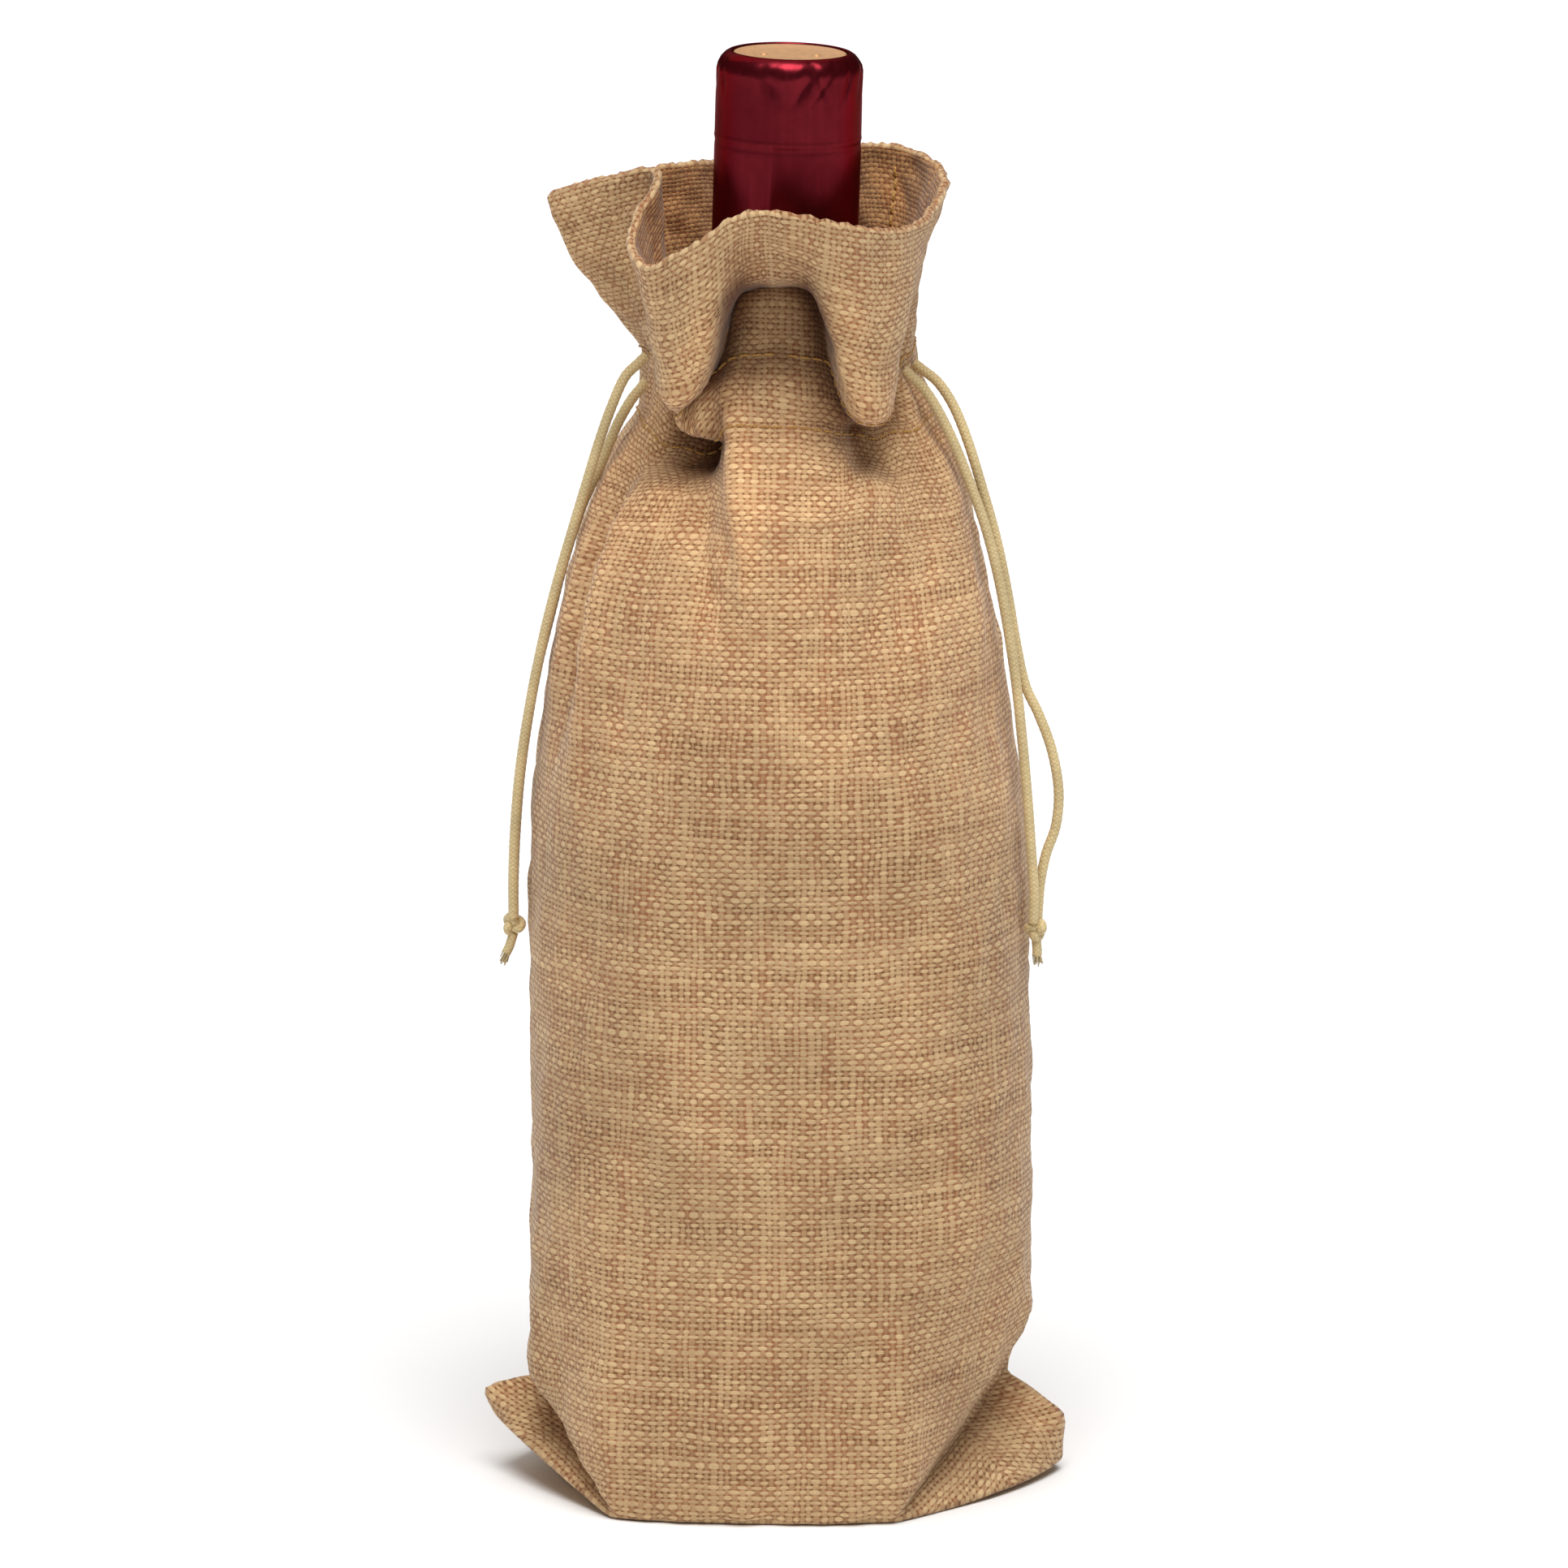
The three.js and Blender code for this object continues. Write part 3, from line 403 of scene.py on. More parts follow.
def lengths_along(line):
    """How far along a line each of its points lies."""
    return np.concatenate(([0], np.cumsum(np.linalg.norm(np.diff(line, axis=0), axis=1))))


def smooth_line(points, step):
    """Points every step along a smooth line through the given ones."""
    points = np.asarray(points, float)
    chords = np.linalg.norm(np.diff(points, axis=0), axis=1) ** 0.5
    keys = np.concatenate(([0], np.cumsum(chords)))
    ends = np.vstack((2 * points[0] - points[1], points, 2 * points[-1] - points[-2]))
    end_keys = np.concatenate(([-chords[0]], keys, [keys[-1] + chords[-1]]))
    slopes = (ends[2:] - ends[:-2]) / (end_keys[2:] - end_keys[:-2])[:, None]
    at = np.linspace(0, keys[-1], 60 * len(points))
    i = np.clip(np.searchsorted(keys, at, "right") - 1, 0, len(keys) - 2)
    span = (keys[i + 1] - keys[i])[:, None]
    t = (at - keys[i])[:, None] / span
    a, b, p, q = points[i], points[i + 1], slopes[i] * span, slopes[i + 1] * span
    line = a + p * t + (3 * (b - a) - 2 * p - q) * t**2 + (p + q - 2 * (b - a)) * t**3
    lengths = lengths_along(line)
    count = max(2, int(round(lengths[-1] / step)) + 1)
    wanted = np.linspace(0, lengths[-1], count)
    return np.stack([np.interp(wanted, lengths, line[:, k]) for k in range(3)], axis=1)


def longer(line, reach):
    """The line, carried straight on beyond its start."""
    step = np.linalg.norm(line[1] - line[0])
    way = (line[0] - line[2]) / np.linalg.norm(line[0] - line[2])
    return np.vstack((line[0] + np.arange(round(reach / step), 0, -1)[:, None] * step * way, line))


def frames_along(line):
    """Two directions across a line at each of its points, carried along without twist."""
    ahead = np.gradient(line, axis=0)
    ahead /= np.linalg.norm(ahead, axis=1)[:, None]
    first = np.cross(ahead[0], (0, 1, 0.2))
    across = np.zeros_like(line)
    across[0] = first / np.linalg.norm(first)
    for i in range(1, len(line)):
        side = across[i - 1] - ahead[i] * np.dot(across[i - 1], ahead[i])
        across[i] = side / np.linalg.norm(side)
    return across, np.cross(ahead, across)


# ---- Meshes ----------------------------------------------------------------------------------


def add_piece(name, vertices, faces, material, uvs=None, body="root"):
    """A mesh object that rides on the body and takes the given material."""
    mesh = bpy.data.meshes.new(name)
    mesh.from_pydata(np.asarray(vertices).tolist(), [], faces)
    if uvs is not None:
        layer = mesh.uv_layers.new(name="Weave")
        layer.data.foreach_set("uv", np.asarray(uvs, float).ravel())
    mesh.polygons.foreach_set("use_smooth", [True] * len(mesh.polygons))
    mesh.materials.append(material)
    mesh.validate()
    mesh.update()
    piece = bpy.data.objects.new(name, mesh)
    bpy.context.scene.collection.objects.link(piece)
    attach(piece, body)
    return piece


def ring_faces(rings, sides):
    """Faces between rings that have one point for each side."""
    faces = []
    for r in range(rings - 1):
        for k in range(sides):
            j = (k + 1) % sides
            faces.append((r * sides + k, r * sides + j, (r + 1) * sides + j, (r + 1) * sides + k))
    return faces


def end_faces(rings, sides):
    """Faces that close the first and the last ring."""
    last = (rings - 1) * sides
    return [tuple(range(sides - 1, -1, -1)), tuple(last + k for k in range(sides))]


def tube(line, radii, sides):
    """Vertices, faces and per-loop UVs (turns round, metres along) of a tube on a line.

    radii is one number, or an array with a row for each ring and a column for each side."""
    across, up = frames_along(line)
    angles = np.arange(sides) * 2 * math.pi / sides
    radii = np.broadcast_to(np.asarray(radii, float), (len(line), sides))
    circle = np.cos(angles)[None, :, None] * across[:, None] + (
        np.sin(angles)[None, :, None] * up[:, None])
    vertices = (line[:, None] + circle * radii[:, :, None]).reshape(-1, 3)
    lengths = lengths_along(line)
    faces = ring_faces(len(line), sides) + end_faces(len(line), sides)
    uvs = []
    for low, high in zip(lengths[:-1], lengths[1:]):
        for k in range(sides):
            a, b = k / sides, (k + 1) / sides
            uvs += [(a, low), (b, low), (b, high), (a, high)]
    uvs += [(0, 0)] * sides + [(0, lengths[-1])] * sides
    return vertices, faces, uvs


def joined(parts):
    """Vertices, faces and UVs of many small meshes as one."""
    vertices, faces, uvs, count = [], [], [], 0
    for part_vertices, part_faces, part_uvs in parts:
        vertices.append(part_vertices)
        faces += [tuple(v + count for v in face) for face in part_faces]
        uvs += part_uvs
        count += len(part_vertices)
    return np.concatenate(vertices), faces, uvs


# ---- Materials -------------------------------------------------------------------------------


class Shader:
    """A new material and short ways to add nodes to it."""

    def __init__(self, name):
        self.material = bpy.data.materials.new(name)
        self.material.use_nodes = True
        self.tree = self.material.node_tree
        self.surface = self.tree.nodes["Principled BSDF"]

    def node(self, kind, **settings):
        node = self.tree.nodes.new(kind)
        for key, value in settings.items():
            setattr(node, key, value)
        return node

    def put(self, socket, value):
        if isinstance(value, bpy.types.NodeSocket):
            self.tree.links.new(value, socket)
        elif value is not None:
            socket.default_value = value

    def math(self, operation, *values, clamp=False):
        node = self.node("ShaderNodeMath", operation=operation, use_clamp=clamp)
        for socket, value in zip(node.inputs, values):
            self.put(socket, value)
        return node.outputs[0]

    def ramp(self, value, low, high, to_low=0.0, to_high=1.0):
        """value carried smoothly from low..high to to_low..to_high."""
        node = self.node("ShaderNodeMapRange", interpolation_type="SMOOTHSTEP")
        for socket, given in zip(node.inputs, (value, low, high, to_low, to_high)):
            self.put(socket, given)
        return node.outputs[0]

    def mix(self, share, a, b, mode="MIX"):
        node = self.node("ShaderNodeMix", data_type="RGBA", blend_type=mode)
        self.put(node.inputs["Factor"], share)
        for socket, value in zip((node.inputs[6], node.inputs[7]), (a, b)):
            self.put(socket, (*value, 1) if isinstance(value, tuple) and len(value) == 3 else value)
        return node.outputs[2]

    def vector(self, x, y, z=0.0):
        node = self.node("ShaderNodeCombineXYZ")
        for socket, value in zip(node.inputs, (x, y, z)):
            self.put(socket, value)
        return node.outputs[0]

    def noise(self, where, scale, detail=2.0, roughness=0.5):
        node = self.node("ShaderNodeTexNoise")
        self.put(node.inputs["Vector"], where)
        self.put(node.inputs["Scale"], scale)
        self.put(node.inputs["Detail"], detail)
        self.put(node.inputs["Roughness"], roughness)
        return node.outputs["Fac"]

    def pattern(self, u, v, across, up, seed, detail=2.0, roughness=0.5):
        """Noise over the cloth, with u and v multiplied by across and up."""
        where = self.vector(self.math("MULTIPLY", u, across), self.math("MULTIPLY", v, up), seed)
        return self.noise(where, 1.0, detail, roughness)

    def moved(self, value, noise, reach):
        """value, moved up to half of reach either way by a noise."""
        return self.math("ADD", value, self.math("MULTIPLY", self.math("SUBTRACT", noise, 0.5), reach))

    def uv(self):
        node = self.node("ShaderNodeUVMap", uv_map="Weave")
        split = self.node("ShaderNodeSeparateXYZ")
        self.put(split.inputs[0], node.outputs[0])
        return split.outputs[0], split.outputs[1]

    def place(self):
        return self.node("ShaderNodeTexCoord").outputs["Object"]

    def height(self):
        split = self.node("ShaderNodeSeparateXYZ")
        self.put(split.inputs[0], self.place())
        return split.outputs[2]

    def fold(self):
        """Depth in a fold in millimetres, 1 on the inside of the cloth, and share of cover, read for the
        painted shade and the redder inner face.
        """
        node = self.node("ShaderNodeAttribute", attribute_name="Fold")
        split = self.node("ShaderNodeSeparateXYZ")
        self.put(split.inputs[0], node.outputs["Vector"])
        return split.outputs

    def bump(self, height, distance, strength=1.0, normal=None):
        node = self.node("ShaderNodeBump")
        self.put(node.inputs["Strength"], strength)
        self.put(node.inputs["Distance"], distance)
        self.put(node.inputs["Height"], height)
        self.put(node.inputs["Normal"], normal)
        return node.outputs[0]

    def finish(self, **sockets):
        for name, value in sockets.items():
            self.put(self.surface.inputs[name.replace("_", " ")], value)
        return self.material


def plain(colour):
    return (*tuple(colour), 1.0)


def jute_material():
    """Plain weave: each yarn passes over and under, with slubs and shade in the gaps."""
    s = Shader("jute_weave")
    c = colours()
    u, v = s.uv()
    # The yarns wander a little, and do not lie at even distances.
    wander, drift = s.pattern(u, v, 0.11, 0.11, 3.0), s.pattern(u, v, 0.14, 0.14, 9.0)
    u, v = s.moved(u, wander, 1.2), s.moved(v, drift, 1.0)
    crowd_u = s.pattern(u, v, 0.42, 0.02, 11.0, 0.0)
    crowd_v = s.pattern(u, v, 0.02, 0.42, 13.0, 0.0)
    u, v = s.moved(u, crowd_u, 0.9), s.moved(v, crowd_v, 0.75)
    warp_id, weft_id = s.math("FLOOR", u), s.math("FLOOR", v)
    across_u = s.math("SUBTRACT", s.math("SUBTRACT", u, warp_id), 0.5)
    across_v = s.math("SUBTRACT", s.math("SUBTRACT", v, weft_id), 0.5)
    over = s.math("PINGPONG", s.math("ADD", warp_id, weft_id), 1.0)
    side = s.math("MULTIPLY_ADD", over, -2.0, 1.0)

    # Each yarn is thick and thin, pale and dark, along its own length.
    warp_slub = s.pattern(warp_id, v, 7.31, 0.07, 1.0, 3.0, 0.65)
    weft_slub = s.pattern(u, weft_id, 0.06, 5.17, 5.0, 3.0, 0.65)
    warp_half = s.ramp(warp_slub, 0.25, 0.75, 0.24, 0.48)
    weft_half = s.ramp(weft_slub, 0.25, 0.75, 0.28, 0.44)
    crossing = s.node("ShaderNodeTexWhiteNoise", noise_dimensions="2D")
    s.put(crossing.inputs["Vector"], s.vector(warp_id, weft_id))
    chance = crossing.outputs["Value"]
    # In streaks the upright yarns stand out instead, and in some the cloth is open.
    level = s.pattern(u, v, 0.045, 0.42, 6.0)
    upright = s.pattern(u, v, 0.42, 0.04, 8.0)
    loose = s.math("MULTIPLY", s.math("ADD", level, upright), 0.5)
    lift = s.ramp(s.math("SUBTRACT", level, upright), -0.24, 0.20, -0.16, 0.24)

    def yarn(along, across, half, sign, lift):
        rise = s.math("MULTIPLY", s.math("COSINE", s.math("MULTIPLY", along, math.pi)), sign)
        ratio = s.math("DIVIDE", across, half)
        round_top = s.math("SQRT", s.math("SUBTRACT", 1.0, s.math("MULTIPLY", ratio, ratio), clamp=True))
        bent = s.math("MULTIPLY_ADD", rise, 0.45, lift)
        return s.math("ADD", bent, s.math("MULTIPLY", round_top, 0.8))

    weft_z = yarn(across_u, across_v, weft_half, side, lift)
    warp_z = yarn(across_v, across_u, warp_half, s.math("MULTIPLY", side, -1.0), 0.0)
    height = s.math("MAXIMUM", weft_z, warp_z)
    on_top = s.ramp(s.math("SUBTRACT", weft_z, warp_z), -0.16, 0.16)

    # Fibres run along the yarns.
    weft_fibre = s.pattern(u, v, 1.3, 7.0, 2.0, 3.0, 0.6)
    warp_fibre = s.pattern(u, v, 7.0, 1.3, 7.0, 3.0, 0.6)
    fibre = s.mix(on_top, warp_fibre, weft_fibre)

    pale, tan, rust, gap = plain(c.weft), plain(c.warp), plain(c.rust), plain(c.gap)
    weft_tone = s.math("ADD", s.ramp(weft_slub, 0.30, 0.66, 0.0, 0.55), s.math("MULTIPLY", chance, 0.45))
    weft_colour = s.mix(weft_tone, s.mix(0.7, pale, tan), pale)
    warp_tone = s.math("ADD", s.ramp(warp_slub, 0.36, 0.72, 0.0, 0.7), s.math("MULTIPLY", chance, 0.3))
    warp_colour = s.mix(warp_tone, s.mix(0.5, rust, tan), s.mix(0.7, tan, pale))
    yarns = s.mix(on_top, warp_colour, weft_colour)
    between = s.mix(s.ramp(loose, 0.36, 0.60), gap, rust)
    shade = s.ramp(height, 0.15, 0.95)
    cloth = s.mix(shade, between, yarns)
    cloth = s.mix(0.6, cloth, s.ramp(fibre, 0.2, 0.8, 0.66, 1.32), "MULTIPLY")
    patches = s.pattern(u, v, 0.05, 0.035, 4.0, 3.0)
    cloth = s.mix(1.0, cloth, s.ramp(patches, 0.3, 0.7, 0.90, 1.08), "MULTIPLY")
    # Painted shade and light: darker and redder deep in a fold, under other cloth and where the cloth
    # faces down, paler on a ridge and at the shoulder, as shade and light fall there. The inner face is
    # made redder.
    depth, inside, cover = s.fold()
    for share, tint in ((s.ramp(depth, 0.2, 3.0), (0.45, 0.36, 0.28)),
                        (s.ramp(cover, 0.10, 0.78), (0.28, 0.17, 0.10)),
                        (s.ramp(depth, -0.5, -2.5), (1.14, 1.11, 1.08)),
                        (inside, (1.02, 0.82, 0.64))):
        cloth = s.mix(share, cloth, s.mix(1.0, cloth, tint, "MULTIPLY"))
    # Painted light: between 0.185 and 0.228 m up, fading out by 0.135 and 0.245 m, the shoulder is made
    # paler, as if lit from above, and the rest of the cloth a little darker.
    shoulder = s.math("MULTIPLY", s.ramp(s.height(), 0.135, 0.185), s.ramp(s.height(), 0.245, 0.228))
    cloth = s.mix(1.0, cloth, s.mix(shoulder, (0.955, 0.965, 0.955), (1.10, 1.08, 1.06)), "MULTIPLY")
    relief = s.math("ADD", height, s.math("MULTIPLY", fibre, 0.3))
    return s.finish(
        Base_Color=cloth, Roughness=0.92, Specular_IOR_Level=0.2, Sheen_Weight=0.2,
        Sheen_Roughness=0.5, Normal=s.bump(relief, 0.00020, 0.6))


def thread_material():
    s = Shader("golden_thread")
    u, v = s.uv()
    ply = s.math("ADD", s.math("MULTIPLY", u, 2.0), s.math("MULTIPLY", v, 1400.0))
    twist = s.math("PINGPONG", ply, 0.5)
    # Painted shade: the thread is darker in the groove between its plies.
    colour = s.mix(s.ramp(twist, 0.0, 0.4), (0.30, 0.13, 0.015), plain(colours().thread))
    return s.finish(Base_Color=colour, Roughness=0.55, Sheen_Weight=0.3, Normal=s.bump(twist, 0.0001))


def cord_material():
    """Cream braid: fine plaited yarns with a soft sheen."""
    s = Shader("drawcord_braid")
    u, v = s.uv()
    lay = s.math("MULTIPLY", v, 1100.0)
    right = s.math("PINGPONG", s.math("MULTIPLY_ADD", u, 5.0, lay), 0.5)
    left = s.math("PINGPONG", s.math("SUBTRACT", s.math("MULTIPLY", u, 5.0), lay), 0.5)
    braid = s.math("MINIMUM", right, left)
    soil = s.noise(s.place(), 90.0, 3.0)
    cream = plain(colours().cord)
    # Painted shade: the cream is darker in the crevices between the plaited yarns.
    colour = s.mix(s.ramp(braid, 0.0, 0.16), (0.52, 0.38, 0.18), cream)
    colour = s.mix(1.0, colour, s.ramp(soil, 0.3, 0.7, 0.86, 1.08), "MULTIPLY")
    return s.finish(
        Base_Color=colour, Roughness=0.7, Sheen_Weight=0.35, Sheen_Roughness=0.4,
        Normal=s.bump(braid, 0.00012))


def foil_material():
    """Satin foil with a soft purple cast and fine rolling marks."""
    s = Shader("wine_foil")
    place = s.place()
    cloudy = s.noise(place, 55.0, 4.0)
    stretch = s.node("ShaderNodeMapping")
    s.put(stretch.inputs["Vector"], place)
    stretch.inputs["Scale"].default_value = (900, 900, 30)
    grain = s.noise(stretch.outputs[0], 1.0, 2.0)
    foil = plain(colours().foil)
    colour = s.mix(s.ramp(cloudy, 0.35, 0.7), foil, (0.135, 0.0095, 0.0150))
    roughness = s.ramp(s.math("ADD", s.math("MULTIPLY", cloudy, 0.6), s.math("MULTIPLY", grain, 0.4)),
                       0.3, 0.7, 0.24, 0.40)
    dents = s.math("ADD", s.noise(place, 190.0, 3.0), s.math("MULTIPLY", grain, 0.12))
    return s.finish(
        Base_Color=colour, Metallic=0.92, Roughness=roughness, Specular_IOR_Level=0.3,
        Specular_Tint=(0.35, 0.06, 0.08, 1.0), Normal=s.bump(dents, 0.0004, 0.35))


def disc_material():
    s = Shader("gold_disc")
    place = s.place()
    colour = s.mix(s.noise(place, 300.0, 3.0), plain(colours().disc), (0.58, 0.30, 0.12))
    roughness = s.ramp(s.noise(place, 700.0, 2.0), 0.3, 0.7, 0.35, 0.55)
    return s.finish(Base_Color=colour, Metallic=0.35, Roughness=roughness,
                    Normal=s.bump(s.noise(place, 900.0, 2.0), 0.0001))


def glass_material():
    s = Shader("bottle_glass")
    place = s.place()
    ripple = s.noise(place, 40.0, 2.0)
    colour = s.mix(ripple, plain(colours().glass), (0.006, 0.012, 0.006))
    return s.finish(Base_Color=colour, Roughness=s.ramp(ripple, 0.3, 0.7, 0.05, 0.10),
                    Coat_Weight=0.6, Coat_Roughness=0.05, Normal=s.bump(ripple, 0.0004, 0.4))


# ---- Cloth of the bag ------------------------------------------------------------------------


def spread(turns, z):
    """Turns where the columns of the front lie at height z."""
    at = turn_between(0, turns)
    share = np.abs(at) / 90
    shift = np.sin(math.pi * np.clip(share / SPREAD_END, 0, 1) ** 0.7)
    risen = smooth((z - SPREAD_FOOT) / (CHANNEL_FOOT - SPREAD_FOOT))
    return at + np.sign(at) * 90 * SPREAD * shift * risen


def section_grid(turns, levels):
    """x and y of the unfolded wall, a row for each level and a column for each turn."""
    angles = np.linspace(0, math.pi / 2, 97)
    xs, ys = (np.zeros((len(levels), len(turns))) for _ in range(2))
    at = turn_between(0, turns)
    at = np.where(turns % 360 == 180, 180, at)
    for k, z in enumerate(levels):
        square = SECTION_CURVES.read("square", z)
        for side, x_sign in (("left", -1), ("right", 1)):
            for face, y_sign in (("front", -1), ("back", 1)):
                chosen = (at < 0) if side == "left" else (at >= 0)
                chosen &= (np.abs(at) <= 90) if face == "front" else (np.abs(at) > 90)
                place = spread(at[chosen], z) if face == "front" else at[chosen]
                share = np.abs(place) / 90
                share = share if face == "front" else 2 - share
                across = SECTION_CURVES.read(side, z) * np.sin(angles) ** (2 / square)
                depth = SECTION_CURVES.read(face, z) * np.clip(np.cos(angles), 0, 1) ** (2 / square)
                steps = np.hypot(np.diff(across), np.diff(depth))
                lengths = np.concatenate(([0], np.cumsum(steps)))
                wanted = share * lengths[-1]
                xs[k, chosen] = x_sign * np.interp(wanted, lengths, across)
                ys[k, chosen] = y_sign * np.interp(wanted, lengths, depth)
    return xs, ys


def folds_out(turns, z, radius):
    """How far the folds and gathers push the wall out."""
    out = np.zeros_like(z)
    for foot, top, turn_foot, turn_top, bend, left, right, edge, push in FOLDS.values():
        along = np.clip((z - foot) / (top - foot), 0, 1)
        middle = lerp(turn_foot, turn_top, along**bend)
        away = np.radians(turn_between(middle, turns)) * radius
        across = away / np.where(away < 0, left, right)
        out += push * smooth(along * edge) * smooth((1 - along) * 3) * np.exp(-(across**2))
    channel = np.clip((z - CHANNEL_FOOT) / (CHANNEL_TOP - CHANNEL_FOOT), 0, 1)
    out += CHANNEL_BULGE * np.sin(math.pi * channel)
    for turn, foot, push in GATHERS:
        below = smooth((z - foot) / (CHANNEL_FOOT - foot))
        above = smooth((GATHER_TOP - z) / (GATHER_TOP - CHANNEL_TOP))
        across = np.radians(turn_between(turn, turns)) * radius / GATHER_REACH
        out += push * below * above * np.exp(-(across**2))
    return out


def upper_grid(turns, rows):
    """Points from WALL_FOOT up to the rim: columns, rows, 3. Rows are steps of cloth that grow shorter
    towards the rim.
    """
    samples = 600
    part = np.linspace(0, 1, samples)[None, :]
    rim = {name: RIM_CURVES.read(name, turns)[:, None] for name in RIM_NAMES[1:]}
    z = lerp(WALL_FOOT, rim["z"], part)
    levels = np.arange(WALL_FOOT, CHANNEL_TOP + 0.5, 1.5)
    xs, ys = section_grid(turns, levels)
    low = np.minimum(z, CHANNEL_TOP)
    x = np.stack([np.interp(low[c], levels, xs[:, c]) for c in range(len(turns))])
    y = np.stack([np.interp(low[c], levels, ys[:, c]) for c in range(len(turns))])
    radius = np.hypot(x, y)
    out = 1 + folds_out(spread(turns[:, None], z), z, radius) / radius
    jump = smooth((z - rim["start"]) / LEAP_RISE)
    climb = np.clip((z - rim["start"]) / (rim["z"] - rim["start"]), 0, 1)
    reach = rim["leap"] * jump + (1 - rim["leap"]) * (1 - (1 - climb) ** rim["bow"])
    sag = LEAP_SAG * rim["leap"] * 4 * jump * (1 - jump)
    line = np.stack((lerp(x * out, rim["x"], reach), lerp(y * out, rim["y"], reach), z - sag), -1)
    lengths = np.cumsum(np.linalg.norm(np.diff(line, axis=1), axis=2), axis=1)
    lengths = np.hstack((np.zeros((len(turns), 1)), lengths))
    t = np.arange(1, rows + 1) / rows
    share = 1.5 * t - 0.5 * t**2
    grid = np.zeros((len(turns), rows, 3))
    for c in range(len(turns)):
        for k in range(3):
            grid[c, :, k] = np.interp(share * lengths[c, -1], lengths[c], line[c, :, k])
    return grid


def base_point(line, turn, wall):
    """A point on one of the named lines of the base."""
    at = 180.0 if turn % 360 == 180 else float(turn_between(0, turn))
    side = "left" if at < 0 else "right"
    face = "front" if abs(at) <= 90 else "back"
    cloth, base_x, base_y, top = CORNERS[face, side]
    ear = EARS[side]
    outward = -1 if face == "front" else 1
    share = abs(at) / 90 if face == "front" else 2 - abs(at) / 90
    floor = sizes().cloth / 2 / MM
    if line == "wall":
        return np.array(wall)
    along = min(1.0, share / cloth)
    past = max(0.0, (share - cloth) / (1 - cloth))
    edge_y = lerp(EDGE_Y[face], base_y, along**2)
    foot = (base_x * along, edge_y, floor)
    belly = (ear["belly"][0], ear["belly"][1] * outward, ear["belly"][2])
    if line == "fold":
        return blend_points((ear["lift_x"] * along, 0, floor), ear["under"], past)
    edge = blend_points(blend_points(foot, belly, past), blend_points(belly, ear["corner"], past), past)
    if line == "edge":
        return edge
    valley = blend_points((foot[0], foot[1] + 1.3 * outward, foot[2] + 1.2), ear["root"], past)
    valley[1] -= outward * VALLEY_DEPTH * 4 * past * (1 - past)
    if line == "valley":
        return valley
    if line == "brow":
        stands_out = np.array(ear["tip"]) - blend_points(ear["corner"], ear["root"], BROW)
        return blend_points(edge, valley, BROW) + stands_out * past**BROW_POWER
    start = (foot[0] * 1.02, foot[1] + 1.9 * outward, foot[2] + 3.2)
    if past < CREASE_BEND:
        return blend_points(start, top, past / CREASE_BEND)
    return blend_points(top, SIDE_FOOT[side], (past - CREASE_BEND) / (1 - CREASE_BEND))


def base_grid(turns):
    """Points from the fold under the base up to WALL_FOOT: columns, rows, 3."""
    xs, ys = section_grid(turns, np.array([WALL_FOOT]))
    columns = []
    for turn, x, y in zip(turns, xs[0], ys[0]):
        column = []
        for start, end, steps in BASE_ROWS:
            a, b = (base_point(name, turn, (x, y, WALL_FOOT)) for name in (start, end))
            column += [blend_points(a, b, step / steps) for step in range(steps)]
        columns.append(column + [np.array((x, y, WALL_FOOT))])
    return np.array(columns)


def softened(grid, weights, rounds):
    """Moves each point towards its neighbours. weights has one number for each row."""
    for _ in range(rounds):
        level = (np.roll(grid, 1, axis=0) + np.roll(grid, -1, axis=0)) / 2
        upright = grid.copy()
        upright[:, 1:-1] = (grid[:, :-2] + grid[:, 2:]) / 2
        grid = grid + ((level + upright) / 2 - grid) * weights[None, :, None]
    return grid


def uneven(u, v, seed, size, count=14):
    """Soft bumps from -1 to 1 on the cloth, about size metres across."""
    rng = np.random.default_rng(seed)
    total = np.zeros_like(u)
    for _ in range(count):
        angle, phase = rng.uniform(0, 2 * math.pi, 2)
        scale = 2 * math.pi / (size * rng.uniform(0.7, 1.8))
        total += np.sin((u * math.cos(angle) + v * math.sin(angle)) * scale + phase)
    return total / math.sqrt(count / 2) / 1.6


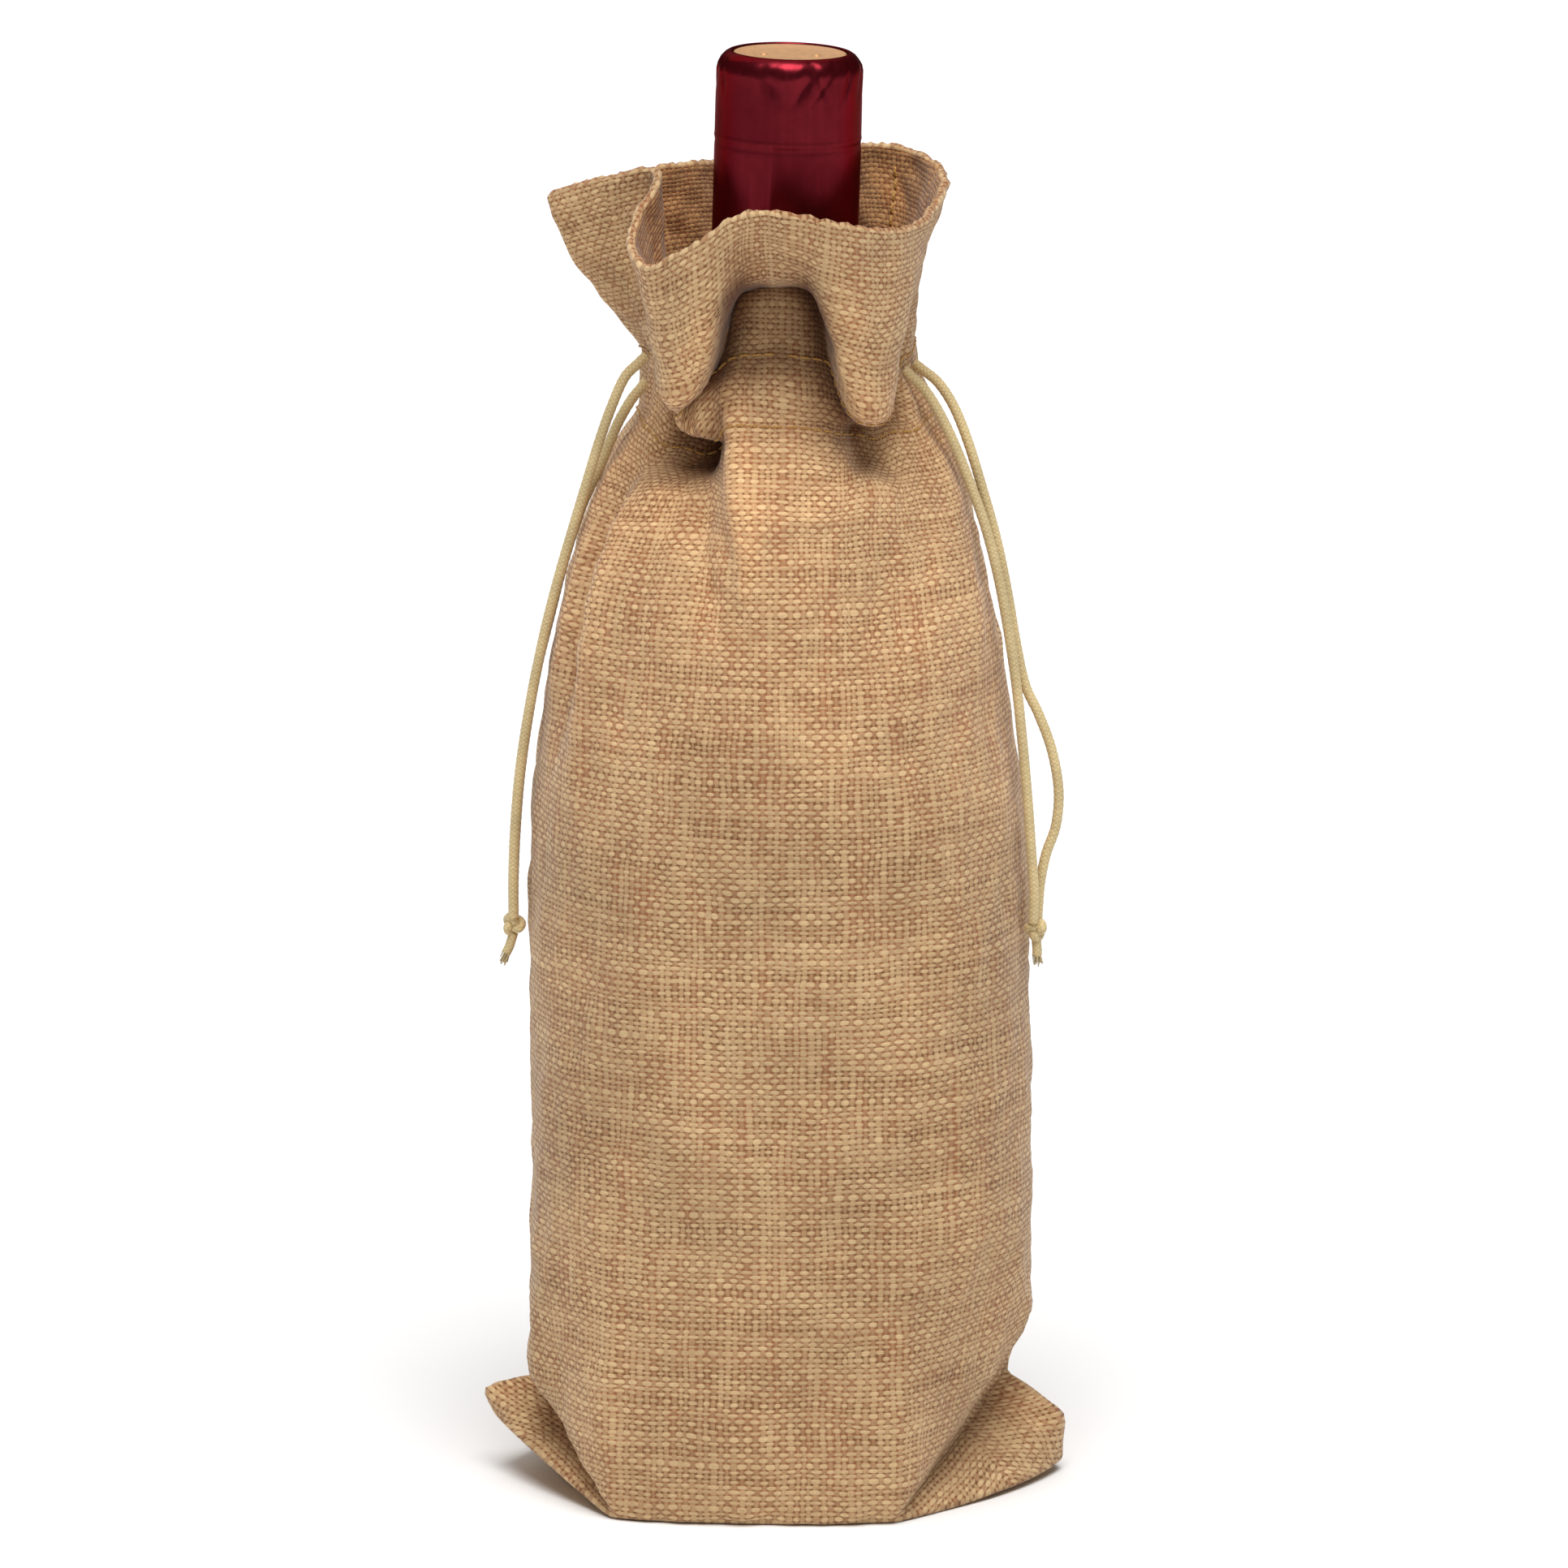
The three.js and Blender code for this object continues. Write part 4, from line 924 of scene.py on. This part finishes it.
class BagSurface:
    """The middle surface of the bag's cloth, with its measures along warp and weft."""

    def __init__(self):
        self.columns = sizes().columns
        self.turns = np.arange(self.columns) * 360.0 / self.columns
        base, upper = base_grid(self.turns), upper_grid(self.turns, sizes().rows)
        self.base_rows = base.shape[1] - 1
        grid = np.concatenate((base, upper), axis=1)
        self.rows = grid.shape[1]
        row = np.arange(self.rows)
        fold_rows = BASE_ROWS[0][2]
        # The fold under the base and the rim keep their places.
        weights = np.interp(row, (0, 2, fold_rows - 3, fold_rows, self.base_rows, self.rows - 3,
                                  self.rows - 1), (0, 0, 0.2, 0.35, 0.4, 0.35, 0))
        self.grid = softened(grid, weights, 3) * MM
        self.measure()
        self.number_points()
        self.normals = self.vertex_normals(self.points)
        self.depth = self.fold_depth()
        self.cover = self.overhang()
        self.roughen()

    def fold_depth(self):
        """How deep each point lies in a fold of the outer face, in millimetres, for painted shade and
        light.
        """
        flat = softened(self.grid, np.ones(self.rows), DEPTH_ROUNDS)
        depth = np.einsum("crk,crk->cr", flat - self.grid, self.normals[self.number]) / MM
        depth[:, :self.base_rows // 2] = 0
        depth[:, self.base_rows // 2:self.base_rows] *= NEAR_GROUND
        at = np.zeros(len(self.points))
        at[self.number.ravel()] = depth.ravel()
        return at

    def overhang(self):
        """How much other cloth covers each point of the outer face, softened.

        A face that is turned down counts as covered too, and near the ground less is kept."""
        # The cover sets painted shade in the cloth's colour, under other cloth and on faces turned down.
        corners, _, _ = self.quads()
        tree = BVHTree.FromPolygons(self.points.tolist(), corners.tolist())
        rays = []
        for k in range(COVER_RAYS):
            up = (k + 0.5) / COVER_RAYS
            turn, level = k * math.pi * (3 - math.sqrt(5)), math.sqrt(1 - up * up)
            rays.append(Vector((level * math.cos(turn), level * math.sin(turn), up)))
        cover = np.zeros(len(self.points))
        open_wall = (self.points[:, 2] > OPEN_WALL[0]) & (self.points[:, 2] < OPEN_WALL[1])
        for k in np.flatnonzero(~open_wall):
            normal = Vector(self.normals[k])
            start = Vector(self.points[k]) + normal * COVER_START
            kept = whole = 0.0
            for ray in rays:
                weight = ray.dot(normal)
                if weight > 0.05:
                    whole += weight
                    if tree.ray_cast(start, ray, COVER_REACH)[0] is not None:
                        kept += weight
            cover[k] = kept / whole if whole > 0 else 0
            cover[k] += TURNED_DOWN * max(0, -normal.z)
            if start.z < WALL_FOOT * MM:
                cover[k] *= NEAR_GROUND
        for _ in range(2):
            grid = cover[self.number]
            grid = (grid + np.roll(grid, 1, 0) + np.roll(grid, -1, 0)) / 3
            grid[:, 1:-1] = (grid[:, 1:-1] + grid[:, :-2] + grid[:, 2:]) / 3
            cover[self.number.ravel()] = grid.ravel()
        return cover

    def measure(self):
        """Cloth length up each column from WALL_FOOT, and round each panel from its centre."""
        steps = np.linalg.norm(np.diff(self.grid, axis=1), axis=2)
        up = np.hstack((np.zeros((self.columns, 1)), np.cumsum(steps, axis=1)))
        up -= up[:, self.base_rows][:, None]
        total = up[:, -1:].copy()
        heading = np.clip((up - SHOULDER_UP) / (total - SHOULDER_UP), 0, None)
        self.up = np.where(up > SHOULDER_UP, SHOULDER_UP + heading * (total.mean() - SHOULDER_UP), up)
        around = np.linalg.norm(self.grid - np.roll(self.grid, 1, axis=0), axis=2)
        # Where the wall narrows, its gathered cloth draws the yarns together, but not fully.
        body = around[:, self.base_rows + 20].copy()[:, None]
        share = np.interp(np.arange(self.rows), (0, self.base_rows - 8, self.base_rows + 10,
                                                 self.rows * 0.85, self.rows), (1, 1, 0.42, 0.42, 0.1))
        around = lerp(body, around, share[None, :])
        half = self.columns // 2
        front = np.vstack((around[1:], around[:1]))  # step from column c to c + 1
        self.front = np.zeros((self.columns, self.rows))
        self.back = np.zeros((self.columns, self.rows))
        for k in range(1, self.columns // 4 + 1):
            self.front[k] = self.front[k - 1] + front[k - 1]
            self.front[-k] = self.front[-k + 1 if k > 1 else 0] - front[-k]
            self.back[half + k] = self.back[half + k - 1] + front[half + k - 1]
            self.back[half - k] = self.back[half - k + 1] - front[half - k]

    def number_points(self):
        """Point numbers. Along the fold under the base, front and back share their points."""
        self.number = np.arange(self.columns * self.rows).reshape(self.columns, self.rows)
        for c in range(self.columns):
            partner = (self.columns + self.columns // 2 - c) % self.columns
            if partner < c:
                self.number[c, 0] = self.number[partner, 0]
        used, compact = np.unique(self.number, return_inverse=True)
        self.number = compact.reshape(self.columns, self.rows)
        self.points = self.grid.reshape(-1, 3)[used]

    def quads(self):
        """Corner numbers of each face, with the column and row of each corner."""
        column, row = np.meshgrid(np.arange(self.columns), np.arange(self.rows - 1), indexing="ij")
        column, row = column.ravel(), row.ravel()
        columns = np.stack((column, (column + 1) % self.columns, (column + 1) % self.columns, column), 1)
        rows = np.stack((row, row, row + 1, row + 1), 1)
        return self.number[columns, rows], columns, rows

    def vertex_normals(self, points):
        corners, _, _ = self.quads()
        a, b, c, d = (points[corners[:, k]] for k in range(4))
        normal = np.cross(c - a, d - b)
        normals = np.zeros_like(points)
        for k in range(4):
            np.add.at(normals, corners[:, k], normal)
        return normals / np.linalg.norm(normals, axis=1)[:, None]

    def roughen(self):
        """Cloth of thick and thin yarns lies a little unevenly, except on the ground."""
        around = np.where(np.abs(turn_between(0, self.turns))[:, None] <= 90, self.front, self.back + 1)
        lift = 0.00045 * uneven(around, self.up, 3, 0.020) + 0.00022 * uneven(around, self.up, 8, 0.007)
        fade = np.interp(np.arange(self.rows), (BASE_ROWS[0][2], BASE_ROWS[0][2] + 8), (0, 1))
        shift = np.zeros(len(self.points))
        shift[self.number.ravel()] = (lift * fade[None, :]).ravel()
        self.points = self.points + self.normals * shift[:, None]
        self.normals = self.vertex_normals(self.points)

    def half_thickness(self):
        """Half the cloth's thickness at each point: the heading is double."""
        doubled = smooth((self.up - HEM_UP) / 0.006)
        half = lerp(sizes().cloth, sizes().hem, doubled) / 2
        at = np.zeros(len(self.points))
        at[self.number.ravel()] = half.ravel()
        return at

    def point_at(self, column, up, side):
        """A point of the outer (side 1) or inner (-1) face, by column and cloth length."""
        low = int(math.floor(column)) % self.columns
        share = column - math.floor(column)
        found = []
        for c in (low, (low + 1) % self.columns):
            row = np.interp(up, self.up[c], np.arange(self.rows))
            r = min(int(row), self.rows - 2)
            pair = self.number[c, r], self.number[c, r + 1]
            middle = lerp(self.points[pair[0]], self.points[pair[1]], row - r)
            normal = lerp(self.normals[pair[0]], self.normals[pair[1]], row - r)
            half = self.thickness[pair[0]]
            found.append((middle + side * half * normal, side * normal))
        point = lerp(found[0][0], found[1][0], share)
        normal = lerp(found[0][1], found[1][1], share)
        return point, normal / np.linalg.norm(normal)


def bag_surface():
    """The bag's surface, worked out once and kept for the stitching and the hem."""
    if not hasattr(bag_surface, "kept"):
        bag_surface.kept = BagSurface()
        bag_surface.kept.thickness = bag_surface.kept.half_thickness()
    return bag_surface.kept


def weave_uvs(surface, columns, rows, offset):
    """UVs in yarns for faces given by the column and row of each corner."""
    quarter = surface.columns // 4
    middle = columns[:, 0]
    front = (middle < quarter) | (middle >= surface.columns - quarter)
    around = np.where(front[:, None], surface.front[columns, rows], surface.back[columns, rows])
    up = surface.up[columns, rows]
    finer = HEADING_FINER * smooth((up - SHOULDER_UP) / 0.03)
    u = around / sizes().warp * (1 + finer) + offset + np.where(front[:, None], 0, BACK_YARNS)
    v = (up + HEADING_FINER * np.clip(up - SHOULDER_UP, 0, None)) / sizes().weft + offset
    return np.stack((u, v), axis=2)


def make_cloth():
    """The bag's cloth as an outer and an inner layer, joined along the rim."""
    surface = bag_surface()
    corners, columns, rows = surface.quads()
    thick = surface.thickness[:, None]
    outer = surface.points + surface.normals * thick
    inner = surface.points - surface.normals * thick
    count = len(surface.points)
    # A half-round edge closes the shell along the rim.
    rim = surface.number[:, -1]
    ahead = surface.grid[:, -1] - surface.grid[:, -2]
    ahead /= np.linalg.norm(ahead, axis=1)[:, None]
    rings = []
    bumps = 1 + np.random.default_rng(21).uniform(-0.35, 0.35, surface.columns)[:, None]
    for angle in (35, 90, 145):
        turn = math.radians(angle)
        normal, half = surface.normals[rim], surface.thickness[rim][:, None] * bumps
        rings.append(surface.points[rim] + half * (math.cos(turn) * normal + math.sin(turn) * ahead))
    vertices = np.vstack([outer, inner, *rings])
    vertices[:, 2] = np.maximum(vertices[:, 2], 0)
    faces = [tuple(dict.fromkeys(face)) for face in corners.tolist()]
    uvs = []
    for offset, sign in ((0.0, 1), (INSIDE_YARNS, -1)):
        part = weave_uvs(surface, columns, rows, offset)
        for k, face in enumerate(faces):
            loops = part[k]
            if len(face) == 3:
                keep = [i for i in range(4) if corners[k][i] not in corners[k][:i]]
                loops = loops[keep]
            uvs.append(loops if sign > 0 else loops[::-1])
    shell = faces + [tuple(v + count for v in reversed(face)) for face in faces]
    chain = [rim] + [2 * count + k * surface.columns + np.arange(surface.columns) for k in range(3)]
    chain.append(rim + count)
    top = surface.up[0, -1] / sizes().weft
    for step in range(4):
        low, high = chain[step], chain[step + 1]
        for c in range(surface.columns):
            n = (c + 1) % surface.columns
            shell.append((int(low[c]), int(low[n]), int(high[n]), int(high[c])))
            u = np.array((c, c + 1)) * ROUND / surface.columns / sizes().warp
            v0, v1 = top + RIM_YARNS * step, top + RIM_YARNS * (step + 1)
            uvs.append(np.array(((u[0], v0), (u[1], v0), (u[1], v1), (u[0], v1))))
    piece = add_piece("bag_jute", vertices, shell, jute_material(), np.vstack(uvs))
    # Fold depth, inner face and cover go to the material for its painted shade and light.
    fold = np.zeros((len(vertices), 3))
    fold[:count, 0], fold[count:2 * count, 0] = surface.depth, -surface.depth
    fold[count:2 * count, 1] = 1
    fold[:count, 2] = surface.cover
    layer = piece.data.attributes.new("Fold", "FLOAT_VECTOR", "POINT")
    layer.data.foreach_set("vector", fold.ravel())
    return piece


# ---- Stitching -------------------------------------------------------------------------------


def stitch_row(surface, places, side, weight=1.0):
    """Stitches along places on the cloth, each given by column and cloth length."""
    line = [surface.point_at(column, up, side) for column, up in places]
    points = np.array([point for point, _ in line])
    normals = np.array([normal for _, normal in line])
    lengths = lengths_along(points)
    step, thread = sizes().stitch, sizes().thread * weight
    parts = []
    for k in range(int(lengths[-1] / step)):
        along = (k + np.array((0.08, 0.2, 0.4, 0.6, 0.8, 0.92))) * step
        height = thread * np.array((-0.6, 0.15, 0.42, 0.42, 0.15, -0.6))
        spot = np.stack([np.interp(along, lengths, points[:, i]) for i in range(3)], 1)
        normal = np.stack([np.interp(along, lengths, normals[:, i]) for i in range(3)], 1)
        parts.append(tube(spot + normal * height[:, None], thread / 2, 7))
    return parts


def make_stitching():
    """Thread: two rows of the channel all round, and the seam inside the back of the heading."""
    surface = bag_surface()
    parts = []
    columns = np.arange(0, surface.columns + 0.5, 0.5)
    front = surface.up[0]
    for level in (CHANNEL_FOOT, CHANNEL_TOP):
        height = np.interp(level * MM, surface.grid[0, surface.base_rows:, 2], front[surface.base_rows:])
        parts += stitch_row(surface, [(column, height) for column in columns], 1)
    seam = surface.columns * SEAM_TURN / 360
    top = surface.up[int(seam), -1]
    ups = np.linspace(top - SEAM_REACH[0], top - SEAM_REACH[1], 30)
    parts += stitch_row(surface, [(seam, up) for up in ups], -1, 1.5)
    vertices, faces, uvs = joined(parts)
    return add_piece("channel_stitching", vertices, faces, thread_material(), uvs)


# ---- Drawcords -------------------------------------------------------------------------------


def braided(line, radius, sides=16):
    """A braided cord on a line: its strands stand up in a fine plait."""
    lengths = lengths_along(line)
    angles = np.arange(sides) * 2 * math.pi / sides
    lay = lengths[:, None] * 2 * math.pi / 0.0030
    plait = np.cos(4 * angles[None] + lay) * np.cos(4 * angles[None] - lay)
    return tube(line, radius * (0.97 + 0.05 * plait), sides)


def knot_mesh(centre, size, radius, tilt):
    """An overhand knot pulled tight."""
    t = np.linspace(0, 2 * math.pi, 140)
    loop = np.stack((np.sin(t) + 2 * np.sin(2 * t), 1.5 * -np.sin(3 * t),
                     np.cos(t) - 2 * np.cos(2 * t)), 1)
    loop = loop / 3 * size
    turn = np.array(((math.cos(tilt), 0, math.sin(tilt)), (0, 1, 0),
                     (-math.sin(tilt), 0, math.cos(tilt))))
    return braided(loop @ turn.T + centre, radius, 14)


def frayed_tail(line, radius, seed):
    """A short end that opens into loose fibres."""
    rng = np.random.default_rng(seed)
    parts = [tube(line[: round(len(line) * 0.7)], radius * 0.9, 12)]
    across, up = frames_along(line)
    for _ in range(34):
        angle, spread = rng.uniform(0, 2 * math.pi), rng.uniform(0.2, 1.0)
        reach = rng.uniform(0.8, 1.02)
        points = []
        for share in np.linspace(0.5, reach, 7):
            k = min(len(line) - 1, int(share * (len(line) - 1)))
            beyond = max(0.0, share - 1) * (line[-1] - line[0])
            out = radius * spread * (0.6 + 0.6 * share**4)
            bend = 0.15 * radius * math.sin(9 * share + angle)
            side = across[k] * math.cos(angle) + up[k] * math.sin(angle)
            points.append(line[k] + beyond + side * (out + bend))
        parts.append(tube(np.array(points), radius * rng.uniform(0.08, 0.16), 5))
    return joined(parts)


def make_drawcords():
    """Two strands at each side, tied in one knot with a short frayed tail."""
    material = cord_material()
    sides = (
        ("left", ("cord_left_front", "cord_left_back"), 0.5, 11),
        ("right", ("cord_right_inner", "cord_right_outer"), -0.3, 12),
    )
    for side, strands, tilt, seed in sides:
        low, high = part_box(f"knot_{side}")
        centre = (np.array(low) + np.array(high)) / 2
        knot = knot_mesh(centre, 0.00170, CORD * 0.44, tilt)
        tied = add_piece(f"tied_{side}", knot[0], knot[1], material, knot[2])
        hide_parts(f"knot_{side}")
        line = longer(smooth_line(TAILS[f"tail_{side}"], 0.0004), INTO_KNOT)
        tail = frayed_tail(line, CORD / 2, seed)
        end = add_piece(f"frayed_{side}", tail[0], tail[1], material, tail[2])
        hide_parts(f"tail_{side}")
        for strand in strands:
            line = longer(smooth_line(STRANDS[strand], 0.0002), TUCKED)
            line = longer(line[::-1], INTO_KNOT)[::-1]
            vertices, faces, uvs = braided(line, CORD / 2)
            name = strand.replace("cord_", "strand_")
            piece = add_piece(name, vertices, faces, material, uvs)
            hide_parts(strand)


# ---- Bottle and capsule ----------------------------------------------------------------------


def bottle_axis():
    """Where the bottle's axis meets the base, and its direction."""
    low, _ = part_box("bottle")
    foot = np.array((BOTTLE_FOOT_X * MM, 0, low[2] + BOTTLE_RADIUS * MM * math.sin(BOTTLE_LEAN)))
    return foot, np.array((math.sin(BOTTLE_LEAN), 0, math.cos(BOTTLE_LEAN)))


def turned(profile, sides, bend=None):
    """A turned form on the bottle's axis. bend gives what to add to the radius."""
    foot, up = bottle_axis()
    across = np.array((math.cos(BOTTLE_LEAN), 0, -math.sin(BOTTLE_LEAN)))
    depth = np.array((0, 1, 0))
    profile = np.asarray(profile, float) * MM
    angles = np.arange(sides) * 2 * math.pi / sides
    radii = np.repeat(profile[:, :1], sides, axis=1)
    heights = np.repeat(profile[:, 1:], sides, axis=1)
    if bend is not None:
        radii, heights = bend(radii, heights, angles[None, :])
    circle = np.cos(angles)[None, :, None] * across + np.sin(angles)[None, :, None] * depth
    vertices = foot + circle * radii[:, :, None] + heights[:, :, None] * up
    return vertices.reshape(-1, 3), ring_faces(len(profile), sides)


def capped(vertices, faces, sides, rings):
    """Closes a turned form at both ends."""
    return vertices, faces + end_faces(rings, sides)


def make_bottle():
    """The glass bottle, from its heel to its lip."""
    sides = 96
    steps = np.linspace(0, 1, 24)
    shoulder = [(lerp(BOTTLE_RADIUS, NECK_RADIUS, smooth(t)),
                 SHOULDER_FOOT + SHOULDER_RISE * (0.75 * t + 0.25 * t**3)) for t in steps]
    lip = BOTTLE_TOP - LIP_BELOW
    profile = [(8, 3), (BOTTLE_RADIUS - 9, 0.6), (BOTTLE_RADIUS - 5, 0), (BOTTLE_RADIUS - 2, 0.7),
               (BOTTLE_RADIUS - 0.5, 2.2), (BOTTLE_RADIUS, 5), *shoulder,
               (NECK_RADIUS, lip - 2.3), (NECK_RADIUS - 1.6, lip)]
    vertices, faces = turned(profile, sides)
    vertices, faces = capped(vertices, faces, sides, len(profile))
    piece = add_piece("glass_bottle", vertices, faces, glass_material())
    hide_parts("bottle")
    return piece


def foil_wrinkles(radii, heights, angles):
    """Creases pressed into the foil: pleats round its shoulder and a few soft dents."""
    top = FOIL_TOP * MM
    below = np.clip((top - heights) / MM, 0, None)
    rng = np.random.default_rng(5)
    shift = np.zeros_like(radii)
    near_top = np.exp(-(((below - 4.2) / 3.4) ** 2)) * (radii > DISC_RADIUS * MM * 1.1)
    for _ in range(26):
        spot, width, depth = rng.uniform(0, 2 * math.pi), rng.uniform(0.03, 0.10), rng.uniform(0.1, 0.42)
        slant = rng.uniform(-0.05, 0.05)
        away = wrapped(angles - spot - slant * below)
        shift -= depth * near_top * np.exp(-((away / width) ** 2))
    for _ in range(14):
        spot, level = rng.uniform(0, 2 * math.pi), rng.uniform(8, 52)
        wide, high, depth = rng.uniform(0.12, 0.5), rng.uniform(2, 9), rng.uniform(-0.10, 0.12)
        away = wrapped(angles - spot)
        shift += depth * np.exp(-((away / wide) ** 2) - ((below - level) / high) ** 2)
    # A rolled mark a third of the way down, and the lap of the foil down the front.
    shift += (0.10 * np.exp(-(((below - 17.5) / 0.35) ** 2))
              - 0.09 * np.exp(-(((below - 18.6) / 0.6) ** 2)))
    lap = wrapped(angles + math.radians(103))
    shift += 0.10 * smooth((lap + 0.02) / 0.02) * smooth((0.30 - lap) / 0.28) * (below > 4)
    return radii + shift * MM, heights


def make_capsule():
    """The foil capsule over the neck, wrinkled where it turns in over the lip."""
    sides = 220
    inside = FOIL_RADIUS - FOIL
    hole = DISC_RADIUS + DISC_GAP
    top = FOIL_TOP
    skirt = [(FOIL_RADIUS, z) for z in np.linspace(FOIL_FOOT, top - 3.6, 96)]
    turn_in = [(FOIL_RADIUS - 0.25, top - 2.4), (FOIL_RADIUS - 0.8, top - 1.4),
               (FOIL_RADIUS - 1.6, top - 0.6), (FOIL_RADIUS - 2.4, top - 0.15),
               (hole + 0.3, top), (hole, top - 0.3), (hole, top - 1.1)]
    under = [(inside - 0.9, top - 2.3), (inside, top - 4), (inside, FOIL_FOOT + 0.1)]
    profile = [(inside, FOIL_FOOT), *skirt, *turn_in, *under]
    vertices, faces = turned(profile, sides, foil_wrinkles)
    rings = len(profile)
    for k in range(sides):
        j = (k + 1) % sides
        faces.append(((rings - 1) * sides + k, (rings - 1) * sides + j, j, k))
    piece = add_piece("foil_capsule", vertices, faces, foil_material())
    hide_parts("capsule")
    return piece


def make_disc():
    """The gold disc, with a raised edge and two small air holes' burrs."""
    sides = 96
    top = DISC_TOP
    profile = [(0.5, top - 1.1), (DISC_RADIUS - 0.2, top - 1.1), (DISC_RADIUS, top - 0.8),
               (DISC_RADIUS, top - 0.15), (DISC_RADIUS - 0.4, top), (DISC_RADIUS - 1.0, top - 0.12),
               (DISC_RADIUS - 2.0, top - 0.3), (4, top - 0.3), (0.5, top - 0.3)]
    parts = [capped(*turned(profile, sides), sides, len(profile)) + ([],)]
    foot, up = bottle_axis()
    for x in (-5.4, 5.4):
        aside = np.array((x * MM, -0.002, -x * MM * math.sin(BOTTLE_LEAN)))
        centre = foot + up * (top - 0.3) * MM + aside
        line = centre + np.linspace(-0.3, 0.45, 6)[:, None] * MM * up
        radii = np.array((0.9, 0.9, 0.85, 0.7, 0.4, 0.08))[:, None] * MM
        pip = tube(line, np.repeat(radii, 12, axis=1), 12)
        parts.append((pip[0], pip[1], []))
    vertices, faces, _ = joined(parts)
    piece = add_piece("gold_cap_disc", vertices, faces, disc_material())
    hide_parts("capsule_top")
    return piece


# ---- Stage -----------------------------------------------------------------------------------

CAMERA_PLACE = (-0.0005, -1.94, 0.594)
CAMERA_PITCH = math.radians(12.92)  # below the level
CAMERA_LENS = 219.2  # millimetres, on a sensor 36 mm wide


def make_camera():
    data = bpy.data.cameras.new("camera")
    data.sensor_width = 36
    data.lens = CAMERA_LENS
    data.clip_end = 50
    camera = bpy.data.objects.new("camera", data)
    camera.location = CAMERA_PLACE
    camera.rotation_euler = (math.pi / 2 - CAMERA_PITCH, 0, 0)
    bpy.context.scene.collection.objects.link(camera)
    bpy.context.scene.camera = camera


def add_skylight(name, place, width, power):
    """A broad even light that shines from place towards the bag, its width in degrees."""
    data = bpy.data.lights.new(name, "SUN")
    data.angle = math.radians(width)
    data.energy = power
    light = bpy.data.objects.new(name, data)
    light.location = place
    aim = Vector((0, 0, 0.16)) - Vector(place)
    light.rotation_euler = aim.to_track_quat("-Z", "Y").to_euler()
    bpy.context.scene.collection.objects.link(light)


def make_stage():
    """Pale floor, soft lights and white surroundings."""
    reach = 7.0
    mesh = bpy.data.meshes.new("floor")
    mesh.from_pydata([(-reach, -reach, 0), (reach, -reach, 0), (reach, reach, 0), (-reach, reach, 0)],
                     [], [(0, 1, 2, 3)])
    floor = bpy.data.objects.new("floor", mesh)
    bpy.context.scene.collection.objects.link(floor)
    s = Shader("pale_floor")
    tone = s.ramp(s.noise(s.place(), 3.0, 2.0), 0.3, 0.7, 0.90, 0.93)
    mesh.materials.append(s.finish(Base_Color=tone, Roughness=0.8, Specular_IOR_Level=0.1))
    add_skylight("key", (0.08, -0.66, 2.15), 40, 3.25)
    add_skylight("back", (-0.3, 1.2, 1.5), 60, 0.6)
    world = bpy.data.worlds.new("white_room")
    world.use_nodes = True
    world.node_tree.nodes["Background"].inputs[0].default_value = (1, 1, 1, 1)
    world.node_tree.nodes["Background"].inputs[1].default_value = 0.14
    bpy.context.scene.world = world
    bpy.context.scene.view_settings.view_transform = "Standard"


# ---- Operators and panel ---------------------------------------------------------------------


class WINEBAG_OT_stage(bpy.types.Operator):
    """Adds the camera, the pale floor and the soft lights"""

    bl_idname = "wine_bag.stage"
    bl_label = "Stage"

    def execute(self, context):
        make_camera()
        make_stage()
        return {"FINISHED"}


class WINEBAG_OT_drawcords(bpy.types.Operator):
    """Adds the four strands of drawcord with their knots and frayed tails"""

    bl_idname = "wine_bag.drawcords"
    bl_label = "Drawcords"

    def execute(self, context):
        make_drawcords()
        return {"FINISHED"}


class WINEBAG_OT_cloth(bpy.types.Operator):
    """Adds the gathered jute cloth with its stitching"""

    bl_idname = "wine_bag.cloth"
    bl_label = "Jute cloth"

    def execute(self, context):
        cloth = make_cloth()
        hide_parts("bag_cloth")
        stitching = make_stitching()
        return {"FINISHED"}


class WINEBAG_OT_bottle(bpy.types.Operator):
    """Adds the glass bottle, its foil capsule and the disc in the capsule's top"""

    bl_idname = "wine_bag.bottle"
    bl_label = "Bottle"

    def execute(self, context):
        make_bottle()
        make_capsule()
        make_disc()
        return {"FINISHED"}


class WINEBAG_PT_panel(bpy.types.Panel):
    """Buttons and settings of the wine bag"""

    bl_idname = "WINEBAG_PT_panel"
    bl_label = "Jute wine bag"
    bl_space_type = "VIEW_3D"
    bl_region_type = "UI"
    bl_category = "Wine bag"

    def draw(self, context):
        for operator in OPERATORS:
            self.layout.operator(operator.bl_idname)
        for group in (sizes(), colours()):
            box = self.layout.box()
            for name in group.__annotations__:
                box.prop(group, name)


OPERATORS = (WINEBAG_OT_stage, WINEBAG_OT_drawcords, WINEBAG_OT_bottle, WINEBAG_OT_cloth)
CLASSES = (WineBagSizes, WineBagColours, *OPERATORS, WINEBAG_PT_panel)


def register():
    for each in CLASSES:
        bpy.utils.register_class(each)
    bpy.types.Scene.wine_bag_sizes = PointerProperty(type=WineBagSizes)
    bpy.types.Scene.wine_bag_colours = PointerProperty(type=WineBagColours)


def unregister():
    del bpy.types.Scene.wine_bag_colours
    del bpy.types.Scene.wine_bag_sizes
    for each in reversed(CLASSES):
        bpy.utils.unregister_class(each)


def main():
    register()
    bpy.ops.wine_bag.stage()
    bpy.ops.wine_bag.drawcords()
    bpy.ops.wine_bag.bottle()
    bpy.ops.wine_bag.cloth()


if __name__ == "__main__":
    main()
